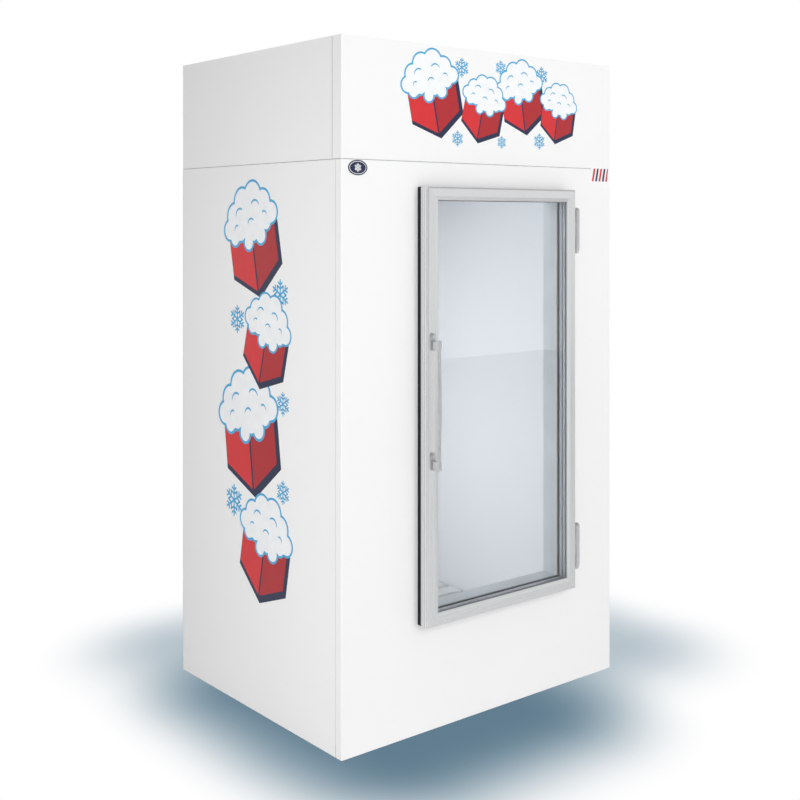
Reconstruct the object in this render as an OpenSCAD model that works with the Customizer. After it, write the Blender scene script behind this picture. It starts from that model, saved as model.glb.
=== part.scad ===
// Upright ice merchandiser freezer: an insulated cabinet of painted steel with one glass door,
// and an air-cooled refrigeration unit on its roof behind a header.
// Millimetres, +Z up, front towards -Y. Origin: middle of the footprint, on the floor.

/* [Cabinet] */
// Width over the side panels
cab_w = 1160; // [1120:10:1300]
// Depth from the front panel to the back panel
cab_d = 925; // [900:5:1000]
// Height to the top of the header
cab_h = 2096; // [2070:2:2160]
// Height of the header, from the seam to the top
header_h = 359; // [346:1:366]
// Width of the seams between the outer panels
seam_gap = 2; // [1:0.5:4]
// Thickness of the painted steel skins
skin_t = 1.2; // [0.8:0.1:2]
// Gap between the floor and the lower edge of the panels
toe_gap = 4; // [2:1:15]
// How far the front panel folds back round each side
front_return = 28; // [20:1:40]
// Outside radius of the folds at the cabinet's front corners
fold_r = 3.5; // [2:0.5:6]
// Height of the skid tubes
skid_h = 40; // [30:1:50]
// Width of the skid tubes
skid_w = 60; // [40:2:90]
// Wall of the skid tubes
skid_wall = 3; // [2:0.5:5]
// Distance from the middle skid to each outer one
skid_pitch = 500; // [400:10:520]

/* [Insulated box] */
// Thickness of the insulated walls, skin to liner
wall_t = 60; // [50:1:70]
// Thickness of the liner sheets
liner_t = 1; // [0.6:0.1:2]
// Height of the floor rack
rack_h = 26; // [18:1:40]
// Width of each slat of the floor rack
slat_w = 60; // [40:1:80]
// Number of slats in the floor rack
slat_count = 9; // [7:1:10]
// Gap between the floor rack and the liner
rack_gap = 14; // [8:1:30]
// Wall of the plastic trim round the door opening
trim_t = 3; // [2:0.5:5]
// Width of the trim's flanges
trim_flange = 15; // [12:0.5:17]

/* [Door] */
// Width of the door
door_w = 647; // [600:1:660]
// Height of the door's lower edge
door_z = 334.5; // [320:0.5:340]
// Distance from the header's seam down to the door's upper edge
door_top = 75.5; // [72:0.5:110]
// Distance of the door's middle to the right of the cabinet's middle
door_shift = 29; // [0:0.5:40]
// How far the door's front stands proud of the front panel
door_proud = 50; // [48:0.5:58]
// How far the door laps over each side of its opening
side_lap = 40; // [36:1:44]
// How far the door laps over the top and the sill of its opening
end_lap = 41; // [37:1:46]
// Gap between the gasket and the front panel it closes on
gasket_gap = 0.4; // [0.3:0.1:1]
// Depth of the gasket
gasket_d = 12.5; // [11:0.5:14]
// Thickness of the plastic thermal break behind the frame
break_t = 4; // [2:0.2:5]

/* [Door frame] */
// Width of the frame's flat face
face_w = 29.5; // [26:0.5:32]
// Width of the bevel between the face and the glass
bevel_w = 11.5; // [8:0.5:13]
// Depth of the bevel
bevel_drop = 2.5; // [2:0.5:6]
// Radius along the frame's outer front edge
edge_r = 6; // [2:0.5:8]
// Wall of the extrusion
rail_wall = 1.8; // [1.4:0.1:2.5]
// Width of the extrusion's hollow box
rail_box = 27; // [24:0.5:28]
// Thickness of the lip in front of the glass
lip_t = 5.5; // [5:0.5:8]
// Depth of the grooves along the outer side
groove_d = 1.2; // [0.4:0.1:1.2]
// Radius of the door's corners
corner_r = 5; // [2:1:12]
// Length of each arm of a corner key
key_arm = 55; // [40:1:80]

/* [Glazing] */
// Thickness of each pane
pane_t = 3.2; // [3:0.1:4]
// How far the glass unit stands out behind the frame's extrusion
glass_back = 9; // [4:0.5:10]
// Thickness of the seat behind the glass
seat_t = 2; // [1:0.5:3]
// Gap between the edge of the glass and the frame
glass_gap = 1.5; // [1:0.5:3]
// Set-back of the spacer from the edge of the glass
spacer_back = 3; // [2:0.5:4]
// Width of the spacer
spacer_w = 7; // [5:0.5:9]
// Thickness of the rubber bead in front of the glass
bead_t = 1.5; // [1:0.1:2]
// How far the bead shows inside the frame
bead_show = 2.5; // [1.5:0.5:7]

/* [Handle] */
// Length of the grip
handle_l = 391; // [340:1:460]
// Height of the handle's middle over the door's middle
handle_up = 7.5; // [-60:0.5:60]
// Width of the grip
grip_w = 11; // [11:0.5:18]
// Thickness of the grip
grip_t = 8; // [7:0.5:12]
// Gap between the door and the grip at its ends
grip_gap = 25; // [22:0.5:32]
// How far the grip bows forward in its middle
grip_bow = 4; // [2:0.5:12]
// Height of each arm
arm_h = 24; // [20:1:32]
// Width of each arm
arm_w = 12; // [11:0.5:13]
// Distance of each arm's middle from the grip's end
arm_in = 16; // [14:1:24]
// Height of each arm's pad
pad_h = 54; // [46:1:64]
// Width of each arm's pad
pad_w = 21; // [18:0.5:21.5]
// Thickness of each arm's pad
pad_t = 5; // [3:0.5:7]
// Distance of the handle's middle from the door's edge
handle_in = 16.5; // [16.5:0.25:17.5]
// Radius of the handle screws
handle_screw_r = 3; // [2:0.5:3.5]

/* [Hinges] */
// Height of each hinge
hinge_h = 150; // [130:2:170]
// Distance from the door's ends to the hinges
hinge_end = 62; // [50:1:80]
// Distance from the door's edge to the pin's axis
pin_out = 13.5; // [13:0.5:18]
// Distance from the front panel to the pin's axis
pin_y = 41; // [38:0.5:44]
// Radius of the hinge pin
pin_r = 4; // [3:0.5:5]
// Radius of the hinge knuckles
knuckle_r = 9.5; // [8:0.5:9.5]
// Height of the middle knuckle, which is on the door
mid_knuckle_h = 52; // [40:2:60]
// Thickness of the hinge's plates
leaf_t = 3; // [2:0.5:3]
// Running clearance between the pin and the door's knuckle
pin_play = 0.05; // [0.02:0.01:0.1]
// Gap between neighbouring knuckles
knuckle_gap = 0.4; // [0.3:0.1:1]
// Radius of the hinge screws
hinge_screw_r = 2.5; // [2:0.5:3]

/* [Header] */
// How far the header's front panel folds back round each side
header_return = 45; // [35:1:60]
// Width of the flanges folded inside the header
header_flange = 24; // [16:1:32]
// Height of one louvre in the rear panel
louvre_h = 9; // [7:0.5:12]
// Distance from one louvre to the next
louvre_pitch = 22; // [18:1:30]
// Length of each louvre
louvre_l = 300; // [200:10:340]

/* [Condensing unit] */
// Radius of the compressor's shell
shell_r = 88; // [75:1:100]
// Height of the compressor's shell
shell_h = 190; // [160:5:210]
// Height of the rubber feet under the compressor
grommet_h = 18; // [12:1:24]
// Width of the condenser across its fins
cond_w = 380; // [320:10:440]
// Height of the condenser
cond_h = 264; // [240:4:280]
// Depth of the condenser along the air's way
cond_t = 44; // [36:2:60]
// Number of fins on the condenser
cond_fins = 22; // [10:1:30]
// Radius of the condenser fan
cond_fan_r = 98; // [80:1:100]

/* [Evaporator] */
// Width of the evaporator's housing
evap_w = 600; // [560:10:660]
// Depth of the evaporator's housing
evap_d = 330; // [310:5:345]
// Height of the evaporator's housing
evap_h = 160; // [150:2:190]
// Distance from the left liner to the housing
evap_side = 50; // [40:5:80]
// Number of fins on the evaporator
evap_fins = 18; // [8:1:26]
// Radius of each evaporator fan
evap_fan_r = 60; // [50:1:64]
// Distance between the evaporator's fans
evap_fan_pitch = 280; // [240:5:300]
// Radius of the drain tube
drain_r = 11; // [8:0.5:14]

/* [Controls and light] */
// Width of the control box
ctrl_w = 180; // [160:5:210]
// Height of the control box
ctrl_h = 110; // [95:5:130]
// Depth of the control box
ctrl_d = 90; // [70:5:120]
// Radius of the temperature knob
knob_r = 19; // [15:1:24]
// Width of the power rocker
rocker_w = 14; // [10:0.5:18]
// Length of the power rocker
rocker_l = 24; // [20:1:30]
// Length of the light over the door
light_l = 540; // [400:10:640]

/* [Hidden] */

$fn = 48;
// Overshoot of every cut
cut = 1;
// Gap left at a mitre where two strips meet
mitre_gap = 0.2;

// Planes of the cabinet
seam_z = cab_h - header_h;
front_y = -cab_d / 2;
back_y = cab_d / 2;
side_x = cab_w / 2;
box_z = skid_h;
// Faces of the insulated box's inside
in_x = side_x - wall_t;
in_front = front_y + wall_t;
in_back = back_y - wall_t;
in_floor = box_z + wall_t;
in_ceiling = seam_z - wall_t;
door_h = seam_z - door_top - door_z;
// The door opening, between the faces of its trim
open_l = door_shift - door_w / 2 + side_lap;
open_r = door_shift + door_w / 2 - side_lap;
open_lo = door_z + end_lap;
open_hi = door_z + door_h - end_lap;
// The hole in the walls that the trim lines
hole_l = open_l - trim_t;
hole_r = open_r + trim_t;
hole_lo = open_lo - trim_t;
hole_hi = open_hi + trim_t;
// Thickness of the trim's flange on the front panel, inside the gasket
flange_t = 1.5;

// The door frame: depth runs forwards from the back of the extrusion
frame_back = front_y - gasket_gap - gasket_d - break_t;
frame_d = door_proud - (front_y - frame_back);
sight_w = face_w + bevel_w;
lip_back = frame_d - bevel_drop - lip_t;
pane_front = lip_back - bead_t;
cavity_t = (pane_front + glass_back - 3 * pane_t) / 2;
door_front = front_y - door_proud;

// Places on the door
handle_x = door_shift - door_w / 2 + handle_in;
handle_z = door_z + door_h / 2 + handle_up;
pin_x = door_shift + door_w / 2 + pin_out;
pin_axis_y = front_y - pin_y;
hinge_zs = [door_z + hinge_end, door_z + door_h - hinge_end - hinge_h];

// A box from its lowest to its highest corner
module span(lo, hi) {
    translate(lo) cube(hi - lo);
}

// A rod between two heights, radius r
module rod(r, h) {
    cylinder(r = r, h = h);
}

// A rectangle with round corners, centred; r of 0 leaves them square
module round_rect(w, h, r) {
    square([w - 2 * r, h], center = true);
    square([w, h - 2 * r], center = true);
    if (r > 0) for (sx = [-1, 1], sz = [-1, 1])
        translate([sx * (w / 2 - r), sz * (h / 2 - r)]) circle(r);
}

// One side of a mitred frame, w by h over its outside and centred on the origin. The child is
// the section: x runs inwards from the outer edge and y runs forwards. Sides: 0 bottom,
// 1 right, 2 top, 3 left. The outer corners have radius r, and gap stays open at the mitres.
module frame_side(w, h, side, gap = 0, r = 0) {
    run = side % 2 == 0 ? w : h;
    half = (side % 2 == 0 ? h : w) / 2;
    reach = 100;
    rotate([0, -90 * side, 0]) intersection() {
        translate([-run / 2, 0, -half]) rotate([0, -90, 180]) linear_extrude(run) children();
        rotate([90, 0, 0]) linear_extrude(2 * reach, center = true) intersection() {
            polygon([
                [-run / 2 + gap, -half], [run / 2 - gap, -half],
                [run / 2 - gap - reach, reach - half], [-run / 2 + gap + reach, reach - half]
            ]);
            round_rect(run, 2 * half, r);
        }
    }
}

// Puts the door's middle, at the back of its extrusions, at the origin of its children
module at_door() {
    translate([door_shift, frame_back, door_z + door_h / 2]) children();
}

// ---------------------------------------------------------------- cabinet

module skid_rails() {
    color([0.62, 0.64, 0.66])
    for (i = [-1, 0, 1]) translate([i * skid_pitch, 0, 0]) difference() {
        span([-skid_w / 2, front_y + wall_t / 2, 0], [skid_w / 2, back_y - wall_t / 2, skid_h]);
        span([-skid_w / 2 + skid_wall, front_y, skid_wall],
             [skid_w / 2 - skid_wall, back_y, skid_h - skid_wall]);
    }
}

// The drain tube runs down the back wall
drain_x = -in_x + evap_side + drain_r + 12;
drain_y = in_back - drain_r - 3;
drain_hole_r = drain_r + 0.5;

module base_pan() {
    color([0.70, 0.72, 0.73]) inside_folds() difference() {
        span([-side_x + skin_t, front_y + skin_t, box_z],
             [side_x - skin_t, back_y - skin_t, box_z + skin_t]);
        translate([drain_x, drain_y, box_z - cut]) rod(drain_hole_r, skin_t + 2 * cut);
    }
}

// Plan of a front panel: a sheet folded back by `back` round both sides, thickness skin_t
module folded_plan(back) {
    difference() {
        folded_outline(side_x, front_y, back, fold_r);
        folded_outline(side_x - skin_t, front_y + skin_t, back, fold_r - skin_t);
    }
}

module folded_outline(half, y, back, r) {
    translate([-half + r, y]) square([2 * (half - r), back]);
    translate([-half, y + r]) square([2 * half, back - r]);
    for (s = [-1, 1]) translate([s * (half - r), y + r]) circle(r);
}

// Keeps its children clear of the inner radius of the front panels' folds
module inside_folds() {
    intersection() {
        children();
        linear_extrude(cab_h)
            folded_outline(side_x - skin_t, front_y + skin_t, cab_d, fold_r - skin_t / 2);
    }
}

module front_panel() {
    top = seam_z - seam_gap / 2;
    color([0.98, 0.98, 0.98]) difference() {
        translate([0, 0, toe_gap]) linear_extrude(top - toe_gap) intersection() {
            folded_plan(front_return + skin_t);
            translate([-side_x, front_y]) square([2 * side_x, front_return]);
        }
        span([hole_l, front_y - cut, hole_lo], [hole_r, front_y + skin_t + cut, hole_hi]);
        bracket_holes();
    }
}

module side_panel(s) {
    x = s * side_x;
    inner = s * (side_x - skin_t);
    span([min(x, inner), front_y + front_return + seam_gap, toe_gap],
         [max(x, inner), back_y - skin_t, seam_z - seam_gap / 2]);
    // Flange folded in behind the back panel's edge
    span([min(s * (side_x - skin_t), s * (side_x - skin_t - 18)), back_y - 2 * skin_t, box_z + skin_t],
         [max(s * (side_x - skin_t), s * (side_x - skin_t - 18)), back_y - skin_t,
          seam_z - 2 * skin_t]);
}

module left_side_panel() {
    color([0.96, 0.96, 0.97]) side_panel(-1);
}

module right_side_panel() {
    color([0.96, 0.96, 0.97]) side_panel(1);
}

module back_panel() {
    color([0.80, 0.82, 0.83])
    span([-side_x, back_y - skin_t, toe_gap], [side_x, back_y, seam_z - seam_gap / 2]);
}

// The suction and liquid lines go down through the roof, beside the evaporator's left end
coil_y = in_back - 156;
coil_t = 66;
line_x = -in_x + evap_side + 20;
line_ys = [coil_y + coil_t / 4, coil_y + coil_t * 3 / 4];
line_rs = [5, 3];
line_hole = 0.5;

module line_holes(lo, hi) {
    for (i = [0, 1]) translate([line_x, line_ys[i], lo]) rod(line_rs[i] + line_hole, hi - lo);
}

module machine_deck() {
    x = side_x - skin_t;
    y0 = front_y + skin_t;
    y1 = back_y - skin_t;
    color([0.70, 0.72, 0.73]) inside_folds() difference() {
        span([-x, y0, seam_z - skin_t], [x, y1, seam_z + header_flange]);
        span([-x + skin_t, y0 + skin_t, seam_z], [x - skin_t, y1 - skin_t, seam_z + cab_h]);
        line_holes(seam_z - skin_t - cut, seam_z + cut);
    }
}

module foam_shell() {
    x = side_x - skin_t;
    y0 = front_y + skin_t;
    y1 = back_y - 2 * skin_t;
    lo = box_z + skin_t;
    hi = seam_z - skin_t;
    fx = in_x + liner_t;
    fy0 = in_front - liner_t;
    fy1 = in_back + liner_t;
    f_lo = in_floor - liner_t;
    f_hi = in_ceiling + liner_t;
    color([0.93, 0.86, 0.62]) inside_folds() {
        difference() {
            span([-x, y0, lo], [x, y1, f_lo]);
            translate([drain_x, drain_y, 0]) rod(drain_hole_r, seam_z);
        }
        difference() {
            span([-x, y0, f_hi], [x, y1, hi]);
            line_holes(0, seam_z);
        }
        for (s = [-1, 1])
            span([s > 0 ? fx : -x, fy0 + mitre_gap, f_lo + mitre_gap],
                 [s > 0 ? x : -fx, y1, f_hi - mitre_gap]);
        span([-fx + mitre_gap, fy1, f_lo + mitre_gap], [fx - mitre_gap, y1, f_hi - mitre_gap]);
    }
}

module foam_front() {
    x = side_x - skin_t;
    y0 = front_y + skin_t;
    y1 = in_front - liner_t;
    lo = in_floor - liner_t + mitre_gap;
    hi = in_ceiling + liner_t - mitre_gap;
    color([0.93, 0.86, 0.62]) inside_folds() difference() {
        union() {
            span([-x, y0, lo], [hole_l, y1, hi]);
            span([hole_r, y0, lo], [x, y1, hi]);
            span([hole_l + mitre_gap, y0, lo], [hole_r - mitre_gap, y1, hole_lo]);
            span([hole_l + mitre_gap, y0, hole_hi], [hole_r - mitre_gap, y1, hi]);
        }
        bracket_holes();
    }
}

module liner_floor() {
    color([0.93, 0.94, 0.95]) difference() {
        span([-in_x - liner_t, in_front - liner_t, in_floor - liner_t],
             [in_x + liner_t, in_back + liner_t, in_floor]);
        translate([drain_x, drain_y, 0]) rod(drain_hole_r, seam_z);
    }
}

module liner_ceiling() {
    color([0.93, 0.94, 0.95]) difference() {
        span([-in_x - liner_t, in_front - liner_t, in_ceiling],
             [in_x + liner_t, in_back + liner_t, in_ceiling + liner_t]);
        line_holes(0, seam_z);
    }
}

module liner_walls() {
    color([0.93, 0.94, 0.95]) {
        for (s = [-1, 1])
            span([s > 0 ? in_x : -in_x - liner_t, in_front, in_floor],
                 [s > 0 ? in_x + liner_t : -in_x, in_back - mitre_gap, in_ceiling]);
        span([-in_x - liner_t, in_back, in_floor],
             [in_x + liner_t, in_back + liner_t, in_ceiling]);
    }
}

module liner_front() {
    y0 = in_front - liner_t;
    color([0.93, 0.94, 0.95]) {
        span([-in_x - liner_t, y0, in_floor], [hole_l, in_front, in_ceiling]);
        span([hole_r, y0, in_floor], [in_x + liner_t, in_front, in_ceiling]);
        span([hole_l + mitre_gap, y0, in_floor], [hole_r - mitre_gap, in_front, hole_lo]);
        span([hole_l + mitre_gap, y0, hole_hi], [hole_r - mitre_gap, in_front, in_ceiling]);
    }
}

// Plastic channel that lines the door opening and laps on to both faces of the wall
module trim_section() {
    deep = wall_t + 2 * flange_t;
    translate([trim_flange, -deep]) square([trim_t, deep]);
    translate([0, -flange_t]) square([trim_flange + cut, flange_t]);
    translate([0, -deep]) square([trim_flange + cut, flange_t]);
}

module jamb_trim() {
    w = open_r - open_l + 2 * (trim_t + trim_flange);
    h = open_hi - open_lo + 2 * (trim_t + trim_flange);
    color([0.72, 0.76, 0.80])
    translate([(open_l + open_r) / 2, front_y - flange_t, (open_lo + open_hi) / 2])
        for (side = [0:3]) frame_side(w, h, side, mitre_gap) trim_section();
}

// Slats across, on three runners
module floor_rack() {
    w = 2 * (in_x - rack_gap);
    d = in_back - in_front - rack_gap - (in_back - drain_y + drain_r + 4);
    y0 = in_front + rack_gap;
    runner_w = 40;
    slat_t = 10;
    pitch = (d - slat_w) / (slat_count - 1);
    color([0.85, 0.87, 0.88]) {
        for (i = [0:slat_count - 1])
            span([-w / 2, y0 + i * pitch, in_floor + rack_h - slat_t],
                 [w / 2, y0 + i * pitch + slat_w, in_floor + rack_h]);
        for (i = [-1, 0, 1])
            translate([i * (w - runner_w) / 2, 0, 0])
                span([-runner_w / 2, y0, in_floor], [runner_w / 2, y0 + d, in_floor + rack_h - slat_t]);
    }
}

// The light hangs under the ceiling behind the head of the door
light_h = 34;
light_d = 46;
light_y = in_front + 14;
light_shell = 2;

module light_housing() {
    color([0.90, 0.91, 0.92]) difference() {
        span([door_shift - light_l / 2, light_y, in_ceiling - light_h + 6],
             [door_shift + light_l / 2, light_y + light_d, in_ceiling]);
        span([door_shift - light_l / 2 + light_shell, light_y + light_shell, in_ceiling - light_h - cut],
             [door_shift + light_l / 2 - light_shell, light_y + light_d - light_shell,
              in_ceiling - light_shell]);
    }
}

module light_lens() {
    r = light_d / 2 - light_shell - 0.2;
    l = light_l - 2 * light_shell - 0.4;
    color([0.96, 0.98, 1.0, 0.6])
    translate([door_shift - l / 2, light_y + light_d / 2, in_ceiling - light_h + 12])
        rotate([0, 90, 0]) difference() {
            cylinder(r = r, h = l);
            translate([0, 0, -cut]) cylinder(r = r - 1.5, h = l + 2 * cut);
            translate([-2 * r, -2 * r, -cut]) cube([2 * r, 4 * r, l + 2 * cut]);
        }
}

// ---------------------------------------------------------------- header

header_lo = seam_z + seam_gap / 2;
cover_z = cab_h - skin_t;

module header_front_panel() {
    color([0.98, 0.98, 0.98]) {
        translate([0, 0, header_lo]) linear_extrude(cab_h - header_lo) intersection() {
            folded_plan(header_return + skin_t);
            translate([-side_x, front_y]) square([2 * side_x, header_return]);
        }
        // Flange that the top cover lies on
        translate([0, 0, cover_z - skin_t]) linear_extrude(skin_t) difference() {
            folded_outline(side_x - skin_t / 2, front_y + skin_t / 2, header_return, fold_r);
            translate([-side_x + header_flange, front_y + header_flange])
                square([2 * (side_x - header_flange), header_return]);
            translate([-side_x, front_y + header_return]) square([2 * side_x, header_return]);
        }
    }
}

module header_side(s) {
    y0 = front_y + header_return + seam_gap;
    y1 = back_y;
    mirror([s > 0 ? 1 : 0, 0, 0]) difference() {
        span([-side_x, y0, header_lo], [-side_x + header_flange, y1, cab_h]);
        span([-side_x + skin_t, y0 - cut, header_lo - cut],
             [0, y1 - skin_t, cover_z - skin_t]);
        span([-side_x + skin_t, y0 - cut, cover_z], [0, y1 + cut, cab_h + cut]);
        // The rear flange stops above the deck's own flange
        span([-side_x + skin_t, y1 - 2 * skin_t, header_lo - cut],
             [0, y1 + cut, seam_z + header_flange]);
    }
}

module header_left_panel() {
    color([0.96, 0.96, 0.97]) header_side(-1);
}

module header_right_panel() {
    color([0.96, 0.96, 0.97]) header_side(1);
}

// Place of the control box, which shows through a window in the rear panel
ctrl_x = side_x - 140;
ctrl_z = seam_z + header_flange + 24;
louvre_cols = [-170, 160];
louvre_rows = 10;
louvre_z = seam_z + header_flange + 40;
gland_x = -side_x + 110;
gland_z = seam_z + header_flange + 30;
gland_r = 9;

// A pressed louvre: a slot under a hood that leans out
module louvre_hood(l) {
    lean = louvre_h * 0.7;
    rotate([90, 0, 90]) linear_extrude(l, center = true)
        polygon([
            [0, louvre_h], [lean, 0], [lean + skin_t, 0], [lean + skin_t, skin_t],
            [skin_t, louvre_h + skin_t], [0, louvre_h + skin_t]
        ]);
    for (s = [-1, 1]) translate([s * (l / 2 - skin_t / 2), 0, 0])
        rotate([90, 0, 90]) linear_extrude(skin_t, center = true)
            polygon([[0, 0], [lean, 0], [0, louvre_h]]);
}

module rear_louvre_panel() {
    y0 = back_y - skin_t;
    color([0.80, 0.82, 0.83]) {
        difference() {
            span([-side_x + header_flange, y0, header_lo], [side_x - header_flange, back_y, cover_z]);
            for (cx = louvre_cols, i = [0:louvre_rows - 1])
                translate([cx, back_y, louvre_z + i * louvre_pitch])
                    span([-louvre_l / 2 + skin_t, -skin_t - cut, 0],
                         [louvre_l / 2 - skin_t, cut, louvre_h]);
            span([ctrl_x - ctrl_w / 2, y0 - cut, ctrl_z], [ctrl_x + ctrl_w / 2, back_y + cut, ctrl_z + ctrl_h]);
            translate([gland_x, y0 - cut, gland_z]) rotate([-90, 0, 0]) rod(gland_r, skin_t + 2 * cut);
        }
        for (cx = louvre_cols, i = [0:louvre_rows - 1])
            translate([cx, back_y, louvre_z + i * louvre_pitch]) louvre_hood(louvre_l);
    }
}

module top_cover() {
    edge = skin_t + 0.4;
    slot_w = 5;
    slot_l = 130;
    color([0.96, 0.96, 0.97]) difference() {
        translate([0, 0, cover_z]) linear_extrude(skin_t) intersection() {
            folded_outline(side_x - edge, front_y + edge, cab_d, fold_r);
            translate([-side_x, front_y]) square([cab_w, cab_d - 0.4]);
        }
        for (x = [-390:130:390], i = [0:9])
            translate([x, back_y - 180 + i * 14, 0])
                span([-slot_l / 2 + 12, -slot_w / 2, cover_z - cut],
                     [slot_l / 2 - 12, slot_w / 2, cab_h + cut]);
    }
}

// ---------------------------------------------------------------- condensing unit

comp_x = -20;
comp_y = -40;
comp_z = seam_z + grommet_h;
foot_x = 95;
foot_y = 70;
foot_hole_r = 6;

module compressor() {
    dome = 46;
    color([0.09, 0.09, 0.10]) translate([comp_x, comp_y, comp_z]) {
        translate([0, 0, 3]) rotate_extrude() difference() {
            union() {
                translate([0, dome]) square([shell_r, shell_h - 2 * dome]);
                intersection() {
                    translate([0, dome]) circle(shell_r);
                    translate([0, 0]) square([shell_r, dome]);
                }
                intersection() {
                    translate([0, shell_h - dome]) circle(shell_r);
                    translate([0, shell_h - dome]) square([shell_r, dome - 8]);
                }
                // Weld seam round the shell
                translate([shell_r - 2, shell_h * 0.55]) square([6, 5]);
            }
            translate([-2 * shell_r, -shell_h]) square([2 * shell_r, 3 * shell_h]);
        }
        // Mounting plate with four holes for the rubber feet
        difference() {
            span([-foot_x - 16, -foot_y - 16, 0], [foot_x + 16, foot_y + 16, 3]);
            for (sx = [-1, 1], sy = [-1, 1])
                translate([sx * foot_x, sy * foot_y, -cut]) rod(foot_hole_r, 3 + 2 * cut);
        }
        // Cover over the electrical terminals
        span([shell_r - 12, -32, 70], [shell_r + 30, 32, 130]);
        // Stubs for the suction and discharge lines
        translate([-shell_r + 6, 40, 108]) rotate([0, -90, 0]) rod(7, 36);
        translate([-shell_r + 6, -30, 128]) rotate([0, -90, 0]) rod(5.5, 36);
    }
}

module compressor_grommets() {
    color([0.16, 0.16, 0.17]) translate([comp_x, comp_y, seam_z])
        for (sx = [-1, 1], sy = [-1, 1]) translate([sx * foot_x, sy * foot_y, 0]) {
            rod(13, grommet_h);
            rod(foot_hole_r - 0.2, grommet_h + 6);
            translate([0, 0, grommet_h + 3.2]) rod(9, 5);
        }
}

cond_x = 0;
cond_y = back_y - 50 - cond_t;
cond_z = seam_z + 12;
tube_r = 4.8;
coil_stub = 14;

// A finned coil: plates across the tubes, end plates, and the tubes' return bends.
// It fills w by d by h from its lowest corner; tubes run along X in rows of cols. Its two
// stubs are at the left: the upper one on the front column, the lower one on column low_col.
module finned_coil(w, d, h, fins, rows, cols, low_col) {
    dx = d / cols;
    dz = h / rows;
    plate = 1.5;
    for (r = [0, rows - 1]) translate([-7, dx / 2, dz * (r + 0.5)]) {
        rotate([-90, 0, 0]) rod(tube_r, dx * (cols - 1));
        for (c = [0:cols - 1]) translate([0, dx * c, 0]) rotate([0, 90, 0]) rod(tube_r, 7 + cut);
    }
    translate([-coil_stub, dx / 2, h - dz / 2]) rotate([0, 90, 0]) rod(tube_r, coil_stub);
    translate([-coil_stub, dx * (low_col + 0.5), dz / 2]) rotate([0, 90, 0]) rod(tube_r, coil_stub);
    for (i = [0:fins - 1])
        translate([plate + (w - 2 * plate - 1) * (i + 0.5) / fins, 0, 2])
            cube([1, d, h - 4]);
    for (x = [0, w - plate]) translate([x, 0, 0]) cube([plate, d, h]);
    for (c = [0:cols - 1], r = [0:rows - 1])
        translate([0, dx * (c + 0.5), dz * (r + 0.5)]) rotate([0, 90, 0])
            rod(tube_r, w);
    // Bends: they join neighbouring rows at the right end, and the next pair at the left
    for (c = [0:cols - 1], r = [0:rows - 2])
        translate([r % 2 == 0 ? w : 0, dx * (c + 0.5), dz * (r + 1)])
            rotate([90, 0, 0]) rotate([0, 0, r % 2 == 0 ? -90 : 90])
                rotate_extrude(angle = 180) translate([dz / 2, 0]) circle(tube_r);
}

module condenser_coil() {
    color([0.72, 0.66, 0.58]) translate([cond_x - cond_w / 2, cond_y, cond_z])
        finned_coil(cond_w, cond_t, cond_h, cond_fins, 8, 2, 0);
    // Feet on the deck
    color([0.72, 0.66, 0.58]) for (s = [-1, 1])
        translate([cond_x + s * (cond_w / 2 - 6), 0, 0])
            span([-5.9, cond_y, seam_z], [5.9, cond_y + cond_t, cond_z + 1]);
}

fan_y = cond_y - 42;
fan_z = cond_z + cond_h / 2;
shroud_back = cond_y;
shroud_front = fan_y - 8;

module condenser_shroud() {
    t = 1.5;
    color([0.60, 0.62, 0.64]) difference() {
        union() {
            span([cond_x - cond_w / 2, shroud_front, cond_z], [cond_x + cond_w / 2, shroud_back, cond_z + cond_h]);
            translate([cond_x, shroud_front - 14, fan_z]) rotate([-90, 0, 0]) rod(cond_fan_r + 5 + t, 20);
        }
        span([cond_x - cond_w / 2 + t, shroud_front + t, cond_z + t],
             [cond_x + cond_w / 2 - t, shroud_back + cut, cond_z + cond_h - t]);
        translate([cond_x, shroud_front - 20, fan_z]) rotate([-90, 0, 0]) rod(cond_fan_r + 5, 40);
    }
}

// A motor on its axis along Y: its shaft end faces +Y at the origin
module fan_motor(r, l, bore, reach, strap) {
    difference() {
        union() {
            translate([0, -l, 0]) rotate([-90, 0, 0]) rod(r, l - 6);
            translate([0, -6, 0]) rotate([-90, 0, 0]) cylinder(r1 = r, r2 = r * 0.6, h = 6);
            // Bracket: two arms from the motor out to the shroud
            span([-reach, -l + 4, -strap / 2], [reach, -l + 7, strap / 2]);
        }
        translate([0, -l / 2, 0]) rotate([-90, 0, 0]) rod(bore, l);
    }
}

// Blades bent from sheet, pitched on a hub; the shaft runs back into the motor.
// The axis is Z and the air leaves towards -Z.
module fan_rotor(r, hub_r, hub_h, blades, chord, pitch, shaft_r, shaft_l) {
    bend = chord * 1.3;
    for (k = [0:blades - 1]) rotate([0, 0, k * 360 / blades]) intersection() {
        rotate([pitch, 0, 0]) intersection() {
            translate([0, 0, -bend]) rotate([0, 90, 0]) difference() {
                cylinder(r = bend + 1.5, h = r);
                translate([0, 0, -cut]) cylinder(r = bend, h = r + 2 * cut);
            }
            translate([hub_r - 2, -chord / 2, -chord / 2]) cube([r, chord, chord]);
        }
        translate([0, 0, -chord]) cylinder(r = r, h = 2 * chord);
    }
    translate([0, 0, -hub_h / 2]) rod(hub_r, hub_h);
    translate([0, 0, hub_h / 2]) cylinder(r1 = hub_r, r2 = hub_r * 0.7, h = 4);
    translate([0, 0, -hub_h / 2 - shaft_l]) rod(shaft_r, shaft_l + cut);
}

shaft_r = 4;
motor_play = 0.08;

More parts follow.
